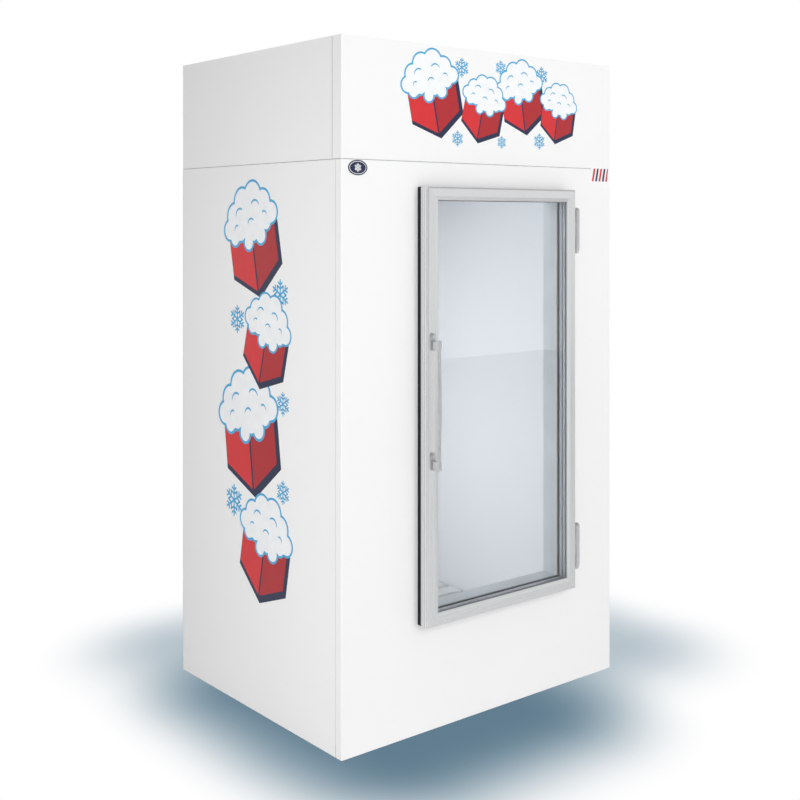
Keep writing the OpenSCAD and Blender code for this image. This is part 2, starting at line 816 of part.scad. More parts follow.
module condenser_fan_motor() {
    color([0.13, 0.14, 0.15]) translate([cond_x, fan_y - 22, fan_z])
        fan_motor(38, 62, shaft_r + motor_play, cond_fan_r + 24, 22);
    // Legs of the bracket, which stand on the deck
    color([0.13, 0.14, 0.15]) for (s = [-1, 1])
        translate([cond_x + s * (cond_fan_r + 16), fan_y - 22 - 58, 0])
            span([-8, 0, seam_z], [8, 3, fan_z + 11]);
}

module condenser_fan_blade() {
    color([0.75, 0.77, 0.79]) translate([cond_x, fan_y, fan_z]) rotate([-90, 0, 0])
        fan_rotor(cond_fan_r, 24, 22, 5, 66, 28, shaft_r, 24);
}

drier_x = cond_x - cond_w / 2 - 64;
drier_y = cond_y - 60;
drier_z = cond_z + cond_h / 16;
drier_l = 130;

module filter_drier() {
    color([0.72, 0.45, 0.30]) translate([drier_x, drier_y, drier_z]) rotate([90, 0, 0])
        rotate_extrude() polygon([[0, 0], [4, 0], [4, 10], [14, 26], [14, 104], [4, 120], [4, 130], [0, 130]]);
}

// A tube that bends round corners of radius bend. Its corners lie at pts, and every stretch
// runs along one axis.
function unit(v) = v / norm(v);
module tube_run(pts, r, bend) {
    last = len(pts) - 1;
    for (i = [0:last - 1]) {
        dir = unit(pts[i + 1] - pts[i]);
        a = pts[i] + (i == 0 ? 0 : bend) * dir;
        b = pts[i + 1] - (i == last - 1 ? 0 : bend) * dir;
        side = abs(dir[2]) > 0.5 ? [1, 0, 0] : [0, 0, 1];
        up = cross(dir, side);
        multmatrix([
            [side[0], up[0], dir[0], a[0]], [side[1], up[1], dir[1], a[1]],
            [side[2], up[2], dir[2], a[2]], [0, 0, 0, 1]
        ]) cylinder(r = r, h = norm(b - a));
    }
    for (i = [1:last - 1]) {
        into = unit(pts[i] - pts[i - 1]);
        out = unit(pts[i + 1] - pts[i]);
        c = pts[i] - bend * into + bend * out;
        up = cross(into, out);
        multmatrix([
            [-out[0], into[0], -up[0], c[0]], [-out[1], into[1], -up[1], c[1]],
            [-out[2], into[2], -up[2], c[2]], [0, 0, 0, 1]
        ]) rotate_extrude(angle = 90) translate([bend, 0]) circle(r);
    }
}

module refrigerant_lines() {
    stub_x = comp_x - shell_r + 6 - 36;
    cond_end = cond_x - cond_w / 2 - coil_stub;
    cond_col = cond_y + cond_t / 4;
    cond_top = cond_z + cond_h * 15 / 16;
    cond_low = cond_z + cond_h / 16;
    rise_x = cond_end - 22;
    color([0.78, 0.46, 0.30]) {
        // Discharge: compressor to the condenser's top row
        tube_run([
            [stub_x, comp_y - 30, comp_z + 128], [rise_x, comp_y - 30, comp_z + 128],
            [rise_x, comp_y - 30, cond_top], [rise_x, cond_col, cond_top],
            [cond_end, cond_col, cond_top]
        ], 4.5, 12);
        // Suction: evaporator's top row up through the roof to the compressor
        tube_run([
            [evap_coil_l - coil_stub, line_ys[0], evap_coil_z + evap_coil_h * 7 / 8],
            [line_x, line_ys[0], evap_coil_z + evap_coil_h * 7 / 8],
            [line_x, line_ys[0], comp_z + 108], [line_x, comp_y + 40, comp_z + 108],
            [stub_x, comp_y + 40, comp_z + 108]
        ], line_rs[0], 12);
        // Liquid: condenser to the drier, and on down to the evaporator's lowest row
        tube_run([
            [cond_end, cond_col, cond_low], [drier_x, cond_col, cond_low], [drier_x, drier_y, cond_low]
        ], 4, 12);
        tube_run([
            [drier_x, drier_y - drier_l, drier_z], [drier_x, drier_y - drier_l - 40, drier_z],
            [line_x, drier_y - drier_l - 40, drier_z], [line_x, line_ys[1], drier_z],
            [line_x, line_ys[1], evap_coil_z + evap_coil_h / 8],
            [evap_coil_l - coil_stub, line_ys[1], evap_coil_z + evap_coil_h / 8]
        ], line_rs[1], 12);
    }
}

// ---------------------------------------------------------------- controls

ctrl_face = back_y - 14;
knob_x = ctrl_x - 42;
knob_z = ctrl_z + ctrl_h / 2;
knob_h = 16;
stem_r = 3;
stem_l = 22;
rocker_x = ctrl_x + 46;
rocker_z = ctrl_z + ctrl_h / 2;
rocker_y = ctrl_face - 4;
rocker_r = rocker_l / 2;
rocker_play = 0.4;
rocker_tilt = 12;
trunnion_r = 2;
trunnion_l = 2.5;

module control_box() {
    t = 1.5;
    color([0.55, 0.57, 0.60]) difference() {
        union() {
            difference() {
                span([ctrl_x - ctrl_w / 2, ctrl_face - ctrl_d, ctrl_z],
                     [ctrl_x + ctrl_w / 2, ctrl_face, ctrl_z + ctrl_h]);
                span([ctrl_x - ctrl_w / 2 + t, ctrl_face - ctrl_d + t, ctrl_z + t],
                     [ctrl_x + ctrl_w / 2 - t, ctrl_face - t, ctrl_z + ctrl_h - t]);
            }
            // Flanged feet down to the deck
            for (s = [-1, 1]) translate([ctrl_x + s * (ctrl_w / 2 - 14), 0, 0])
                span([-10, ctrl_face - ctrl_d, seam_z], [10, ctrl_face - ctrl_d + t, ctrl_z + cut]);
            for (s = [-1, 1]) translate([ctrl_x + s * (ctrl_w / 2 - 14), 0, 0])
                span([-10, ctrl_face - ctrl_d, seam_z], [10, ctrl_face - ctrl_d + 24, seam_z + t]);
            // Bezel round the rocker
            span([rocker_x - rocker_w / 2 - 4, ctrl_face - t, rocker_z - rocker_l / 2 - 4],
                 [rocker_x + rocker_w / 2 + 4, ctrl_face + 2, rocker_z + rocker_l / 2 + 4]);
            // Cheeks that carry the rocker's trunnions
            for (s = [-1, 1]) translate([rocker_x + s * (rocker_w / 2 + rocker_play + 2), 0, 0])
                span([-2, rocker_y - 5, rocker_z - 7], [2, ctrl_face - cut, rocker_z + 7]);
            // Boss behind the face, which carries the knob's stem
            translate([knob_x, ctrl_face - 20, knob_z]) rotate([-90, 0, 0]) rod(9, 19);
        }
        translate([knob_x, ctrl_face - 26, knob_z]) rotate([-90, 0, 0])
            rod(stem_r + motor_play, 40);
        span([rocker_x - rocker_w / 2 - rocker_play, rocker_y - 6, rocker_z - rocker_r - rocker_play],
             [rocker_x + rocker_w / 2 + rocker_play, ctrl_face + 3, rocker_z + rocker_r + rocker_play]);
        translate([rocker_x, rocker_y, rocker_z]) rotate([0, 90, 0])
            cylinder(r = trunnion_r + motor_play, h = rocker_w + 2 * trunnion_l + 2 * rocker_play,
                     center = true);
    }
}

module temperature_knob() {
    color([0.10, 0.10, 0.11]) translate([knob_x, ctrl_face + 0.5, knob_z]) rotate([-90, 0, 0]) {
        difference() {
            union() {
                cylinder(r = knob_r, h = 3);
                cylinder(r1 = knob_r - 3, r2 = knob_r - 5, h = knob_h);
            }
            for (k = [0:11]) rotate([0, 0, k * 30 + 15]) translate([knob_r - 2.6, 0, 4])
                rod(1.6, knob_h);
        }
        // Pointer ridge, upwards at rest
        translate([-1.2, 6 - knob_r, knob_h - cut]) cube([2.4, knob_r - 6, cut + 1.2]);
        translate([0, 0, -stem_l]) rod(stem_r, stem_l + cut);
    }
}

// The rocker is a slice of a round bar about its own pivot, with two flats on its face
module power_rocker() {
    color([0.12, 0.12, 0.13]) translate([rocker_x, rocker_y, rocker_z]) rotate([0, 90, 0]) {
        difference() {
            cylinder(r = rocker_r, h = rocker_w, center = true);
            // Back: cut flat behind the pivot
            translate([-rocker_l, -rocker_l - 4, -rocker_l]) cube([2 * rocker_l, rocker_l, 2 * rocker_l]);
            // Face: a shallow V
            for (s = [-1, 1]) rotate([0, 0, s * rocker_tilt])
                translate([s < 0 ? -rocker_l : 0, 6.5, -rocker_l]) cube([rocker_l, rocker_l, 2 * rocker_l]);
        }
        cylinder(r = trunnion_r, h = rocker_w + 2 * trunnion_l, center = true);
    }
}

module cord_gland() {
    color([0.12, 0.12, 0.13]) translate([gland_x, back_y, gland_z]) rotate([-90, 0, 0])
        difference() {
            union() {
                translate([0, 0, -skin_t - 12]) rod(gland_r - 0.1, 12 + skin_t + cut);
                cylinder(r = 14, h = 6, $fn = 6);
                rod(gland_r + 1, 14);
                translate([0, 0, 14]) cylinder(r1 = gland_r + 1, r2 = gland_r - 3, h = 6);
                translate([0, 0, -skin_t - 6]) cylinder(r = 14, h = 6, $fn = 6);
            }
            translate([0, 0, -skin_t - 14]) rod(4.5, 50);
        }
}

// ---------------------------------------------------------------- evaporator

evap_l = -in_x + evap_side;
evap_r = evap_l + evap_w;
evap_front = in_back - 6 - evap_d;
evap_back = in_back - 6;
evap_lo = in_ceiling - evap_h;
evap_t = 1.5;
evap_mid = (evap_l + evap_r) / 2;
evap_fan_z = evap_lo + evap_h / 2;
evap_coil_w = evap_w - 110;
evap_coil_h = evap_h - 40;
evap_coil_l = evap_mid - evap_coil_w / 2;
evap_coil_z = evap_lo + 30;

module evaporator_housing() {
    color([0.88, 0.89, 0.90]) difference() {
        span([evap_l, evap_front, evap_lo], [evap_r, evap_back, in_ceiling]);
        span([evap_l + evap_t, evap_front + evap_t, evap_lo + evap_t],
             [evap_r - evap_t, evap_back - evap_t, in_ceiling + cut]);
        // Openings for the fans
        for (s = [-1, 1]) translate([evap_mid + s * evap_fan_pitch / 2, evap_front - cut, evap_fan_z])
            rotate([-90, 0, 0]) rod(evap_fan_r + 4, evap_t + 2 * cut);
        // Return air slots in the floor, behind the coil
        for (i = [0:13]) translate([evap_l + 60 + i * (evap_w - 120) / 13, evap_back - 40, 0])
            span([-8, -12, evap_lo - cut], [8, 12, evap_lo + evap_t + cut]);
        translate([drain_x, spout_y, evap_lo - cut]) rod(drain_hole_r, evap_t + 2 * cut);
    }
}

module evaporator_coil() {
    color([0.78, 0.80, 0.82]) {
        translate([evap_coil_l, coil_y, evap_coil_z])
            finned_coil(evap_coil_w, coil_t, evap_coil_h, evap_fins, 4, 2, 1);
        // Hangers under the ceiling
        for (s = [-1, 1]) translate([evap_mid + s * (evap_coil_w / 2 - 6), coil_y, 0])
            span([-5.9, 10, evap_coil_z + evap_coil_h - cut], [5.9, 50, in_ceiling]);
    }
}

module evaporator_fan_motors() {
    color([0.80, 0.82, 0.84]) for (s = [-1, 1])
        translate([evap_mid + s * evap_fan_pitch / 2, evap_front + 34, evap_fan_z]) mirror([0, 1, 0])
            fan_motor(24, 44, shaft_r + motor_play, 20, 16);
    // Straps from the housing's floor to its ceiling, which hold the motors
    color([0.80, 0.82, 0.84]) for (s = [-1, 1])
        translate([evap_mid + s * evap_fan_pitch / 2, evap_front + 34 + 37, 0])
            span([-9, 0, evap_lo + evap_t], [9, 3, in_ceiling]);
}

module evaporator_fan(s) {
    color([0.15, 0.16, 0.18])
    translate([evap_mid + s * evap_fan_pitch / 2, evap_front + 18, evap_fan_z]) rotate([90, 0, 0])
        fan_rotor(evap_fan_r, 15, 14, 4, 34, 30, shaft_r, 20);
}

module evaporator_fan_left() {
    evaporator_fan(-1);
}

module evaporator_fan_right() {
    evaporator_fan(1);
}

// Pressed guards: flat rings on a cross of bars
module fan_guards() {
    wire = 1.5;
    color([0.80, 0.82, 0.84]) for (s = [-1, 1])
        translate([evap_mid + s * evap_fan_pitch / 2, evap_front - wire, evap_fan_z]) rotate([90, 0, 0]) {
            for (r = [14:14:evap_fan_r + 6])
                rotate_extrude() translate([r, 0]) square(2 * wire, center = true);
            for (a = [45, 135]) rotate([0, 0, a])
                cube([2 * evap_fan_r + 16, 4, wire], center = true);
        }
}

// Pan under the coil, with a hole for the drain tube in its far left corner
pan_h = 14;
pan_l = evap_l + 5;
pan_y = coil_y + 94;
spout_y = pan_y - drain_r - 4;

module drain_pan() {
    pan_r = evap_mid + evap_coil_w / 2 + 15;
    color([0.30, 0.32, 0.34]) difference() {
        span([pan_l, coil_y - 14, evap_lo + evap_t], [pan_r, pan_y, evap_lo + evap_t + pan_h]);
        span([pan_l + 2, coil_y - 12, evap_lo + evap_t + 2],
             [pan_r - 2, pan_y - 2, evap_lo + 2 * pan_h]);
        translate([drain_x, spout_y, evap_lo]) rod(drain_hole_r, pan_h);
    }
}

module drain_tube() {
    top = evap_lo + evap_t + 2;
    turn_z = evap_lo - 34;
    foot_z = 14;
    wall = 2;
    color([0.90, 0.91, 0.92]) difference() {
        tube_run([
            [drain_x, spout_y, top], [drain_x, spout_y, turn_z], [drain_x, drain_y, turn_z],
            [drain_x, drain_y, foot_z]
        ], drain_r, 18);
        tube_run([
            [drain_x, spout_y, top + cut], [drain_x, spout_y, turn_z], [drain_x, drain_y, turn_z],
            [drain_x, drain_y, foot_z - cut]
        ], drain_r - wall, 18);
    }
}

// ---------------------------------------------------------------- door

// Section of the frame: a hollow box, a lip in front of the glass with a bevel, and grooves
// along the outer side
module rail_section() {
    difference() {
        union() {
            rail_outline(0);
            polygon([
                [rail_box - cut, lip_back], [sight_w, lip_back],
                [sight_w, frame_d - bevel_drop], [face_w, frame_d], [rail_box - cut, frame_d]
            ]);
        }
        rail_outline(rail_wall);
        for (g = [0.2, 0.5, 0.86])
            translate([-cut, (frame_d - edge_r) * g]) square([cut + groove_d, 2.4]);
    }
}

// The hollow box's outline, taken in by `inset` all round
module rail_outline(inset) {
    translate([inset, inset]) square([rail_box - 2 * inset, frame_d - edge_r - inset]);
    translate([edge_r, inset]) square([rail_box - inset - edge_r, frame_d - 2 * inset]);
    translate([edge_r, frame_d - edge_r]) circle(edge_r - inset);
}

module rail(side) {
    at_door() frame_side(door_w, door_h, side, 0, corner_r) rail_section();
}

module door_stile_left() {
    color([0.82, 0.83, 0.84]) difference() {
        rail(3);
        handle_screw_holes();
    }
}

module door_stile_right() {
    color([0.82, 0.83, 0.84]) difference() {
        rail(1);
        leaf_screw_holes();
    }
}

module door_rail_top() {
    color([0.82, 0.83, 0.84]) rail(2);
}

module door_rail_bottom() {
    color([0.82, 0.83, 0.84]) rail(0);
}

// Cast angles inside the mitred corners
module corner_keys() {
    play = 0.3;
    thick = rail_box - 2 * rail_wall - 2 * play;
    lo = rail_wall + play;
    // Keys stay behind the round of the frame's front edge
    key_d = frame_d - edge_r - lo;
    color([0.60, 0.61, 0.63]) at_door()
        for (sx = [-1, 1], sz = [-1, 1]) mirror([sx > 0 ? 1 : 0, 0, 0]) mirror([0, 0, sz > 0 ? 1 : 0])
            translate([-door_w / 2 + lo, -frame_d + edge_r, -door_h / 2 + lo]) difference() {
                union() {
                    cube([key_arm, key_d, thick]);
                    cube([thick, key_d, key_arm]);
                }
                // Lightening pockets
                translate([thick + 4, 4, 4]) cube([key_arm, key_d - 8, thick]);
                translate([4, 4, thick + 4]) cube([thick, key_d - 8, key_arm]);
            }
}

// Size of the glass
glass_w = door_w - 2 * (rail_box + glass_gap);
glass_h = door_h - 2 * (rail_box + glass_gap);

// A pane whose front is at depth b of the frame
module pane(b) {
    color([0.85, 0.92, 0.96, 0.35]) at_door()
        translate([-glass_w / 2, -b, -glass_h / 2]) cube([glass_w, pane_t, glass_h]);
}

module outer_pane() {
    pane(pane_front);
}

module middle_pane() {
    pane(pane_front - pane_t - cavity_t);
}

module inner_pane() {
    pane(pane_front - 2 * (pane_t + cavity_t));
}

module glass_spacers() {
    color([0.66, 0.68, 0.70]) at_door()
        for (k = [0, 1], side = [0:3])
            frame_side(glass_w, glass_h, side, mitre_gap)
                translate([spacer_back, pane_front - (k + 1) * (pane_t + cavity_t)])
                    square([spacer_w, cavity_t]);
}

// Rubber between the lip and the glass, with a leg that shows inside the frame
module glazing_bead() {
    under = rail_box + glass_gap;
    color([0.13, 0.13, 0.14]) at_door()
        for (side = [0:3]) frame_side(door_w, door_h, side, mitre_gap) {
            translate([under, pane_front]) square([sight_w - under + cut, bead_t]);
            translate([sight_w, pane_front]) square([bead_show, bead_t + 1]);
        }
}

// Plastic channel that closes the back of the frame and holds the glass unit behind it
module thermal_break() {
    play = 0.1;
    rim = rail_box + glass_gap - play;
    color([0.10, 0.10, 0.11]) at_door()
        for (side = [0:3]) frame_side(door_w, door_h, side, mitre_gap, corner_r) {
            translate([0.5, -break_t]) square([rim - 0.5, break_t]);
            translate([rail_box - 1, -glass_back - seat_t])
                square([rim - rail_box + 1, glass_back + seat_t]);
            // Seat of the glass
            translate([rail_box - 1, -glass_back - seat_t]) square([sight_w - rail_box + 1, seat_t]);
        }
}

// Magnetic gasket: foot, bellows and the pocket for the magnet
module gasket_section() {
    w = rail_box - 2;
    wall = 1.2;
    pocket_w = 14;
    pocket_d = 5;
    difference() {
        union() {
            translate([0.5, -break_t - 2]) square([w, 2]);
            translate([0.5, -break_t - gasket_d]) square([pocket_w, gasket_d - cut]);
            polygon([
                [pocket_w, -break_t - gasket_d + pocket_d], [w - 4, -break_t - 1], [w + 0.5, -break_t - 1],
                [pocket_w, -break_t - gasket_d + pocket_d - 2 * wall]
            ]);
        }
        translate([0.5 + wall, -break_t - gasket_d + wall])
            square([pocket_w - 2 * wall, pocket_d - 2 * wall]);
        translate([0.5 + wall, -break_t - gasket_d + pocket_d])
            square([pocket_w - 2 * wall, gasket_d - pocket_d - 2]);
    }
}

module door_gasket() {
    color([0.08, 0.08, 0.09]) at_door()
        for (side = [0:3]) frame_side(door_w, door_h, side, mitre_gap, corner_r) gasket_section();
}

// ---------------------------------------------------------------- handle

foot_zs = [handle_z - handle_l / 2 + arm_in, handle_z + handle_l / 2 - arm_in];
handle_screw_in = 16;

// A grip on two arms, cast in one piece with their pads
module pull_handle() {
    chord = handle_l / 2;
    bow_r = (chord * chord + grip_bow * grip_bow) / (2 * grip_bow);
    half_angle = asin(chord / bow_r);
    soft = 3;
    flare = 5;
    pad_y = door_front - pad_t;
    grip_y = door_front - grip_gap;
    // The pad's round upper end stands clear of the arm
    pad_up = (pad_h - arm_h) / 2 - 6;
    color([0.84, 0.85, 0.86]) difference() {
        union() {
            // Grip: part of a large ring about the X axis
            translate([handle_x, grip_y - grip_t - grip_bow + bow_r, handle_z])
                rotate([0, 90, 0]) rotate([0, 0, 270 - half_angle])
                    rotate_extrude(angle = 2 * half_angle, $fn = 360)
                        translate([bow_r - grip_t / 2, 0]) round_rect(grip_t, grip_w, soft);
            for (z = foot_zs) translate([handle_x, 0, z]) {
                translate([0, door_front, pad_up]) rotate([90, 0, 0]) {
                    linear_extrude(pad_t) round_rect(pad_w, pad_h, pad_w / 2 - 0.1);
                    // Boss on the pad's upper end
                    translate([0, pad_h / 2 - pad_w / 2, pad_t - cut])
                        cylinder(r1 = pad_w / 2 - 1.5, r2 = pad_w / 2 - 4, h = cut + 3);
                }
                // Arm, wider at the pad and at the grip
                rotate([90, 0, 90]) linear_extrude(arm_w, center = true) polygon([
                    [pad_y + cut, -arm_h / 2 - flare / 2], [pad_y + cut, arm_h / 2 + flare / 2],
                    [pad_y - flare, arm_h / 2 - 1], [grip_y + flare, arm_h / 2 - 1],
                    [grip_y - 1, arm_h / 2 + 1], [grip_y - 1, -arm_h / 2 - 1],
                    [grip_y + flare, -arm_h / 2 + 1], [pad_y - flare, -arm_h / 2 + 1]
                ]);
                // End of the grip, thicker over the arm
                translate([0, grip_y, 0]) rotate([90, 0, 0])
                    linear_extrude(grip_t + 2) round_rect(grip_w + 2, 2 * arm_in - 2, soft);
            }
        }
        for (z = foot_zs) translate([handle_x, door_front + cut, z]) rotate([90, 0, 0])
            rod(handle_screw_r, handle_screw_in + cut);
    }
}

handle_hole_play = 0.3;

module handle_screw_holes() {
    for (z = foot_zs) translate([handle_x, door_front - cut, z]) rotate([-90, 0, 0]) {
        rod(handle_screw_r + handle_hole_play, frame_d / 2);
        // Way in for the driver from behind
        translate([0, 0, frame_d / 2]) rod(2 * handle_screw_r + 1, frame_d);
    }
}

// ---------------------------------------------------------------- hinges

low_knuckle_h = (hinge_h - mid_knuckle_h) / 2 + 6;
mid_lo = low_knuckle_h + knuckle_gap;
mid_hi = mid_lo + mid_knuckle_h - 2 * knuckle_gap;
bracket_plate_t = 4;
bracket_reach = 32;
bracket_screw_zs = [24, hinge_h - 24];
leaf_screw_zs = [16, hinge_h - 16];
leaf_screw_y = 16;

module at_hinges() {
    for (z = hinge_zs) translate([pin_x, pin_axis_y, z]) children();
}

// Cabinet half: a plate on the front panel, a web, and the outer knuckles
module hinge_brackets() {
    out = pin_y - bracket_plate_t;
    taper = 16;
    color([0.62, 0.63, 0.65]) at_hinges() difference() {
        union() {
            span([-4, out, 0], [bracket_reach, pin_y, hinge_h]);
            span([2, knuckle_r + 2.5, 0], [knuckle_r, out + cut, hinge_h]);
            // Lower knuckle, tapered at its foot
            cylinder(r1 = knuckle_r - 4, r2 = knuckle_r, h = taper);
            translate([0, 0, taper]) rod(knuckle_r, low_knuckle_h - taper);
            span([2, 0, taper], [knuckle_r, out, low_knuckle_h]);
            // Upper knuckle, domed
            translate([0, 0, mid_hi + knuckle_gap]) rod(knuckle_r, hinge_h - mid_hi - knuckle_gap - 5);
            translate([0, 0, hinge_h - 5]) cylinder(r1 = knuckle_r, r2 = knuckle_r - 3, h = 5);
            span([2, 0, mid_hi + knuckle_gap], [knuckle_r, out, hinge_h - 6]);
        }
        translate([0, 0, 8]) rod(pin_r + 0.02, hinge_h);
        for (z = bracket_screw_zs) translate([bracket_reach - 10, out - cut, z]) rotate([-90, 0, 0])
            rod(hinge_screw_r + 0.2, 30);
    }
}

module bracket_holes() {
    at_hinges() for (z = bracket_screw_zs)
        translate([bracket_reach - 10, pin_y - cut, z]) rotate([-90, 0, 0])
            rod(hinge_screw_r + 0.1, 24);
}

// Door half: a plate on the stile's edge and the middle knuckle
module hinge_leaves() {
    color([0.62, 0.63, 0.65]) at_hinges() difference() {
        union() {
            span([-pin_out, -4, 4], [-pin_out + leaf_t, 24, hinge_h - 4]);
            translate([0, 0, mid_lo]) rod(knuckle_r, mid_hi - mid_lo);
            span([-pin_out, -4, mid_lo], [0, knuckle_r - 1, mid_hi]);
        }
        translate([0, 0, mid_lo - cut]) rod(pin_r + pin_play, mid_hi - mid_lo + 2 * cut);
        for (z = leaf_screw_zs) translate([-pin_out - cut, leaf_screw_y, z]) rotate([0, 90, 0])
            rod(hinge_screw_r + 0.1, leaf_t + 2 * cut);
    }
}

module leaf_screw_holes() {
    at_hinges() for (z = leaf_screw_zs)
        translate([-pin_out - 6, leaf_screw_y, z]) rotate([0, 90, 0])
            rod(hinge_screw_r + 0.1, 6 + cut);
}

module hinge_pins() {
    color([0.75, 0.76, 0.78]) at_hinges() translate([0, 0, 8]) rod(pin_r, hinge_h - 6);
}

// ---------------------------------------------------------------- fasteners

// A screw with a round head: the head's seat is at the origin and the shank runs along -Z
module screw(r, l) {
    translate([0, 0, -l]) rod(r, l + cut);
    difference() {
        cylinder(r1 = 2 * r, r2 = 1.4 * r, h = 1.1 * r);
        translate([0, 0, 0.5 * r]) cylinder(r = 0.8 * r, h = 2 * r, $fn = 6);
    }
}

module door_screws() {
    color([0.70, 0.71, 0.73]) {
        for (z = foot_zs) translate([handle_x, door_front + rail_wall, z]) rotate([-90, 0, 0])
            screw(handle_screw_r - 0.02, rail_wall + handle_screw_in - 2);
        at_hinges() for (z = leaf_screw_zs)
            translate([-pin_out + leaf_t, leaf_screw_y, z]) rotate([0, 90, 0])
                screw(hinge_screw_r, leaf_t + 5);
    }
}

module cabinet_screws() {
    color([0.70, 0.71, 0.73]) at_hinges() for (z = bracket_screw_zs)
        translate([bracket_reach - 10, pin_y - bracket_plate_t, z]) rotate([90, 0, 0])
            screw(hinge_screw_r, 22);
}

skid_rails();
base_pan();
front_panel();
left_side_panel();
right_side_panel();
back_panel();
machine_deck();
foam_shell();
foam_front();
liner_floor();
liner_walls();
liner_front();
liner_ceiling();
jamb_trim();
floor_rack();
light_housing();
light_lens();
header_front_panel();
header_left_panel();
header_right_panel();
rear_louvre_panel();
top_cover();
compressor();
compressor_grommets();
condenser_coil();
condenser_shroud();
condenser_fan_motor();
condenser_fan_blade();
filter_drier();
refrigerant_lines();
control_box();
temperature_knob();
power_rocker();
cord_gland();
evaporator_coil();
evaporator_housing();
evaporator_fan_motors();
evaporator_fan_left();
evaporator_fan_right();
fan_guards();
drain_pan();
drain_tube();
door_stile_left();
door_stile_right();
door_rail_top();
door_rail_bottom();
corner_keys();
glazing_bead();
outer_pane();
middle_pane();
inner_pane();
glass_spacers();
thermal_break();
door_gasket();
pull_handle();
hinge_brackets();
hinge_leaves();
hinge_pins();
door_screws();
cabinet_screws();
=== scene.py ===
"""Looks of the ice merchandiser freezer: finishes, printed vinyl, screw heads and the studio."""

import math

import bmesh
import bpy
from mathutils import Matrix, Vector


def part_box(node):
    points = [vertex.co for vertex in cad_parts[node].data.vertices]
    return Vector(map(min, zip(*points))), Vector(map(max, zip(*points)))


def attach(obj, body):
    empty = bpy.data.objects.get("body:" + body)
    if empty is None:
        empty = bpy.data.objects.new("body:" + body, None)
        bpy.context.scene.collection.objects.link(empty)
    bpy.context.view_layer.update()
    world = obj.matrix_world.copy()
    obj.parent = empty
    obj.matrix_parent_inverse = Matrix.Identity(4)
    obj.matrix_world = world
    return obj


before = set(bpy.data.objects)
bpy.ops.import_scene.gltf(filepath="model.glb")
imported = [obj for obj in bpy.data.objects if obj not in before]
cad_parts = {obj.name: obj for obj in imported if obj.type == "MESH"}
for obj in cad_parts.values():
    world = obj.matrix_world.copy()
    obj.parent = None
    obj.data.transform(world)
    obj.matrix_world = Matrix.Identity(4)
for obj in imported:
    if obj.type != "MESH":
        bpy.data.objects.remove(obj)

bl_info = {
    "name": "Ice merchandiser looks",
    "version": (1, 0, 0),
    "blender": (4, 5, 0),
    "location": "View3D > Sidebar > Freezer",
    "description": "Finishes and small pieces for an ice merchandiser freezer",
    "category": "Object",
}

# Corners of the sheets that the prints, the badge and the screws lie on, in metres
CAB_LO, CAB_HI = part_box("front_panel")
HEAD_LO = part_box("header_front_panel")[0]
SIDE_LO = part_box("left_side_panel")[0]
BACK_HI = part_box("back_panel")[1]


# ---------------------------------------------------------------- colours and settings


def linear(value):
    """An sRGB hex value as linear red, green, blue and an alpha of 1."""
    parts = [int(value[i : i + 2], 16) / 255 for i in (1, 3, 5)]
    return (*[c / 12.92 if c <= 0.04045 else ((c + 0.055) / 1.055) ** 2.4 for c in parts], 1.0)


def hex_colour(name, value, description):
    return bpy.props.FloatVectorProperty(
        name=name, description=description, subtype="COLOR", size=3, min=0, max=1,
        default=linear(value)[:3],
    )


class PaintSettings(bpy.types.PropertyGroup):
    white: hex_colour("Panel white", "#F8F8F8", "Baked enamel on the cabinet and header")
    liner: hex_colour("Liner", "#E6EAEE", "Enamel on the liner sheets")
    roughness: bpy.props.FloatProperty(
        name="Roughness", description="Roughness of the baked enamel", default=0.3, min=0.05,
        max=0.9,
    )


class VinylSettings(bpy.types.PropertyGroup):
    red: hex_colour("Red", "#DA2128", "Body colour of the printed ice cubes")
    deep_red: hex_colour("Deep red", "#B3141E", "Shaded faces of the printed ice cubes")
    navy: hex_colour("Navy", "#0C1B44", "Drop shadow and outlines")
    sky: hex_colour("Sky blue", "#46ACDD", "Outline of the snow")
    film: bpy.props.FloatProperty(
        name="Film", description="Height of one printed layer", default=0.00003, min=0.00002,
        max=0.0003, unit="LENGTH", precision=6,
    )
    cube: bpy.props.FloatProperty(
        name="Cube", description="Radius of a printed ice cube's outline on the header",
        default=0.104, min=0.05, max=0.12, unit="LENGTH",
    )
    side_cube: bpy.props.FloatProperty(
        name="Side cube", description="Radius of the largest printed ice cube on the sides",
        default=0.165, min=0.1, max=0.2, unit="LENGTH",
    )


class StudioSettings(bpy.types.PropertyGroup):
    key: bpy.props.FloatProperty(
        name="Key", description="Power of the large lamp in front", default=172, min=0,
        unit="POWER",
    )
    fill: bpy.props.FloatProperty(
        name="Fill", description="Power of the lamp on the left", default=9.6, min=0,
        unit="POWER",
    )
    top: bpy.props.FloatProperty(
        name="Top", description="Power of the lamp overhead", default=18, min=0, unit="POWER"
    )
    inside: bpy.props.FloatProperty(
        name="Inside", description="Power of the lamp in the storage", default=6.8, min=0,
        unit="POWER",
    )
    world: bpy.props.FloatProperty(
        name="World", description="Strength of the studio's even light", default=0.52, min=0,
        max=2,
    )


# ---------------------------------------------------------------- material helpers


def add(tree, kind, inputs=None, **settings):
    """Adds a node; an input given as a socket is linked, any other value is set."""
    made = tree.nodes.new(kind)
    for key, value in settings.items():
        setattr(made, key, value)
    for key, value in (inputs or {}).items():
        if isinstance(value, bpy.types.NodeSocket):
            tree.links.new(value, made.inputs[key])
        else:
            made.inputs[key].default_value = value
    return made


def start(name):
    """A new material, its tree, its shader and its object coordinates."""
    mat = bpy.data.materials.new(name)
    mat.use_nodes = True
    tree = mat.node_tree
    shader = tree.nodes["Principled BSDF"]
    place = add(tree, "ShaderNodeTexCoord").outputs["Object"]
    return mat, tree, shader, place


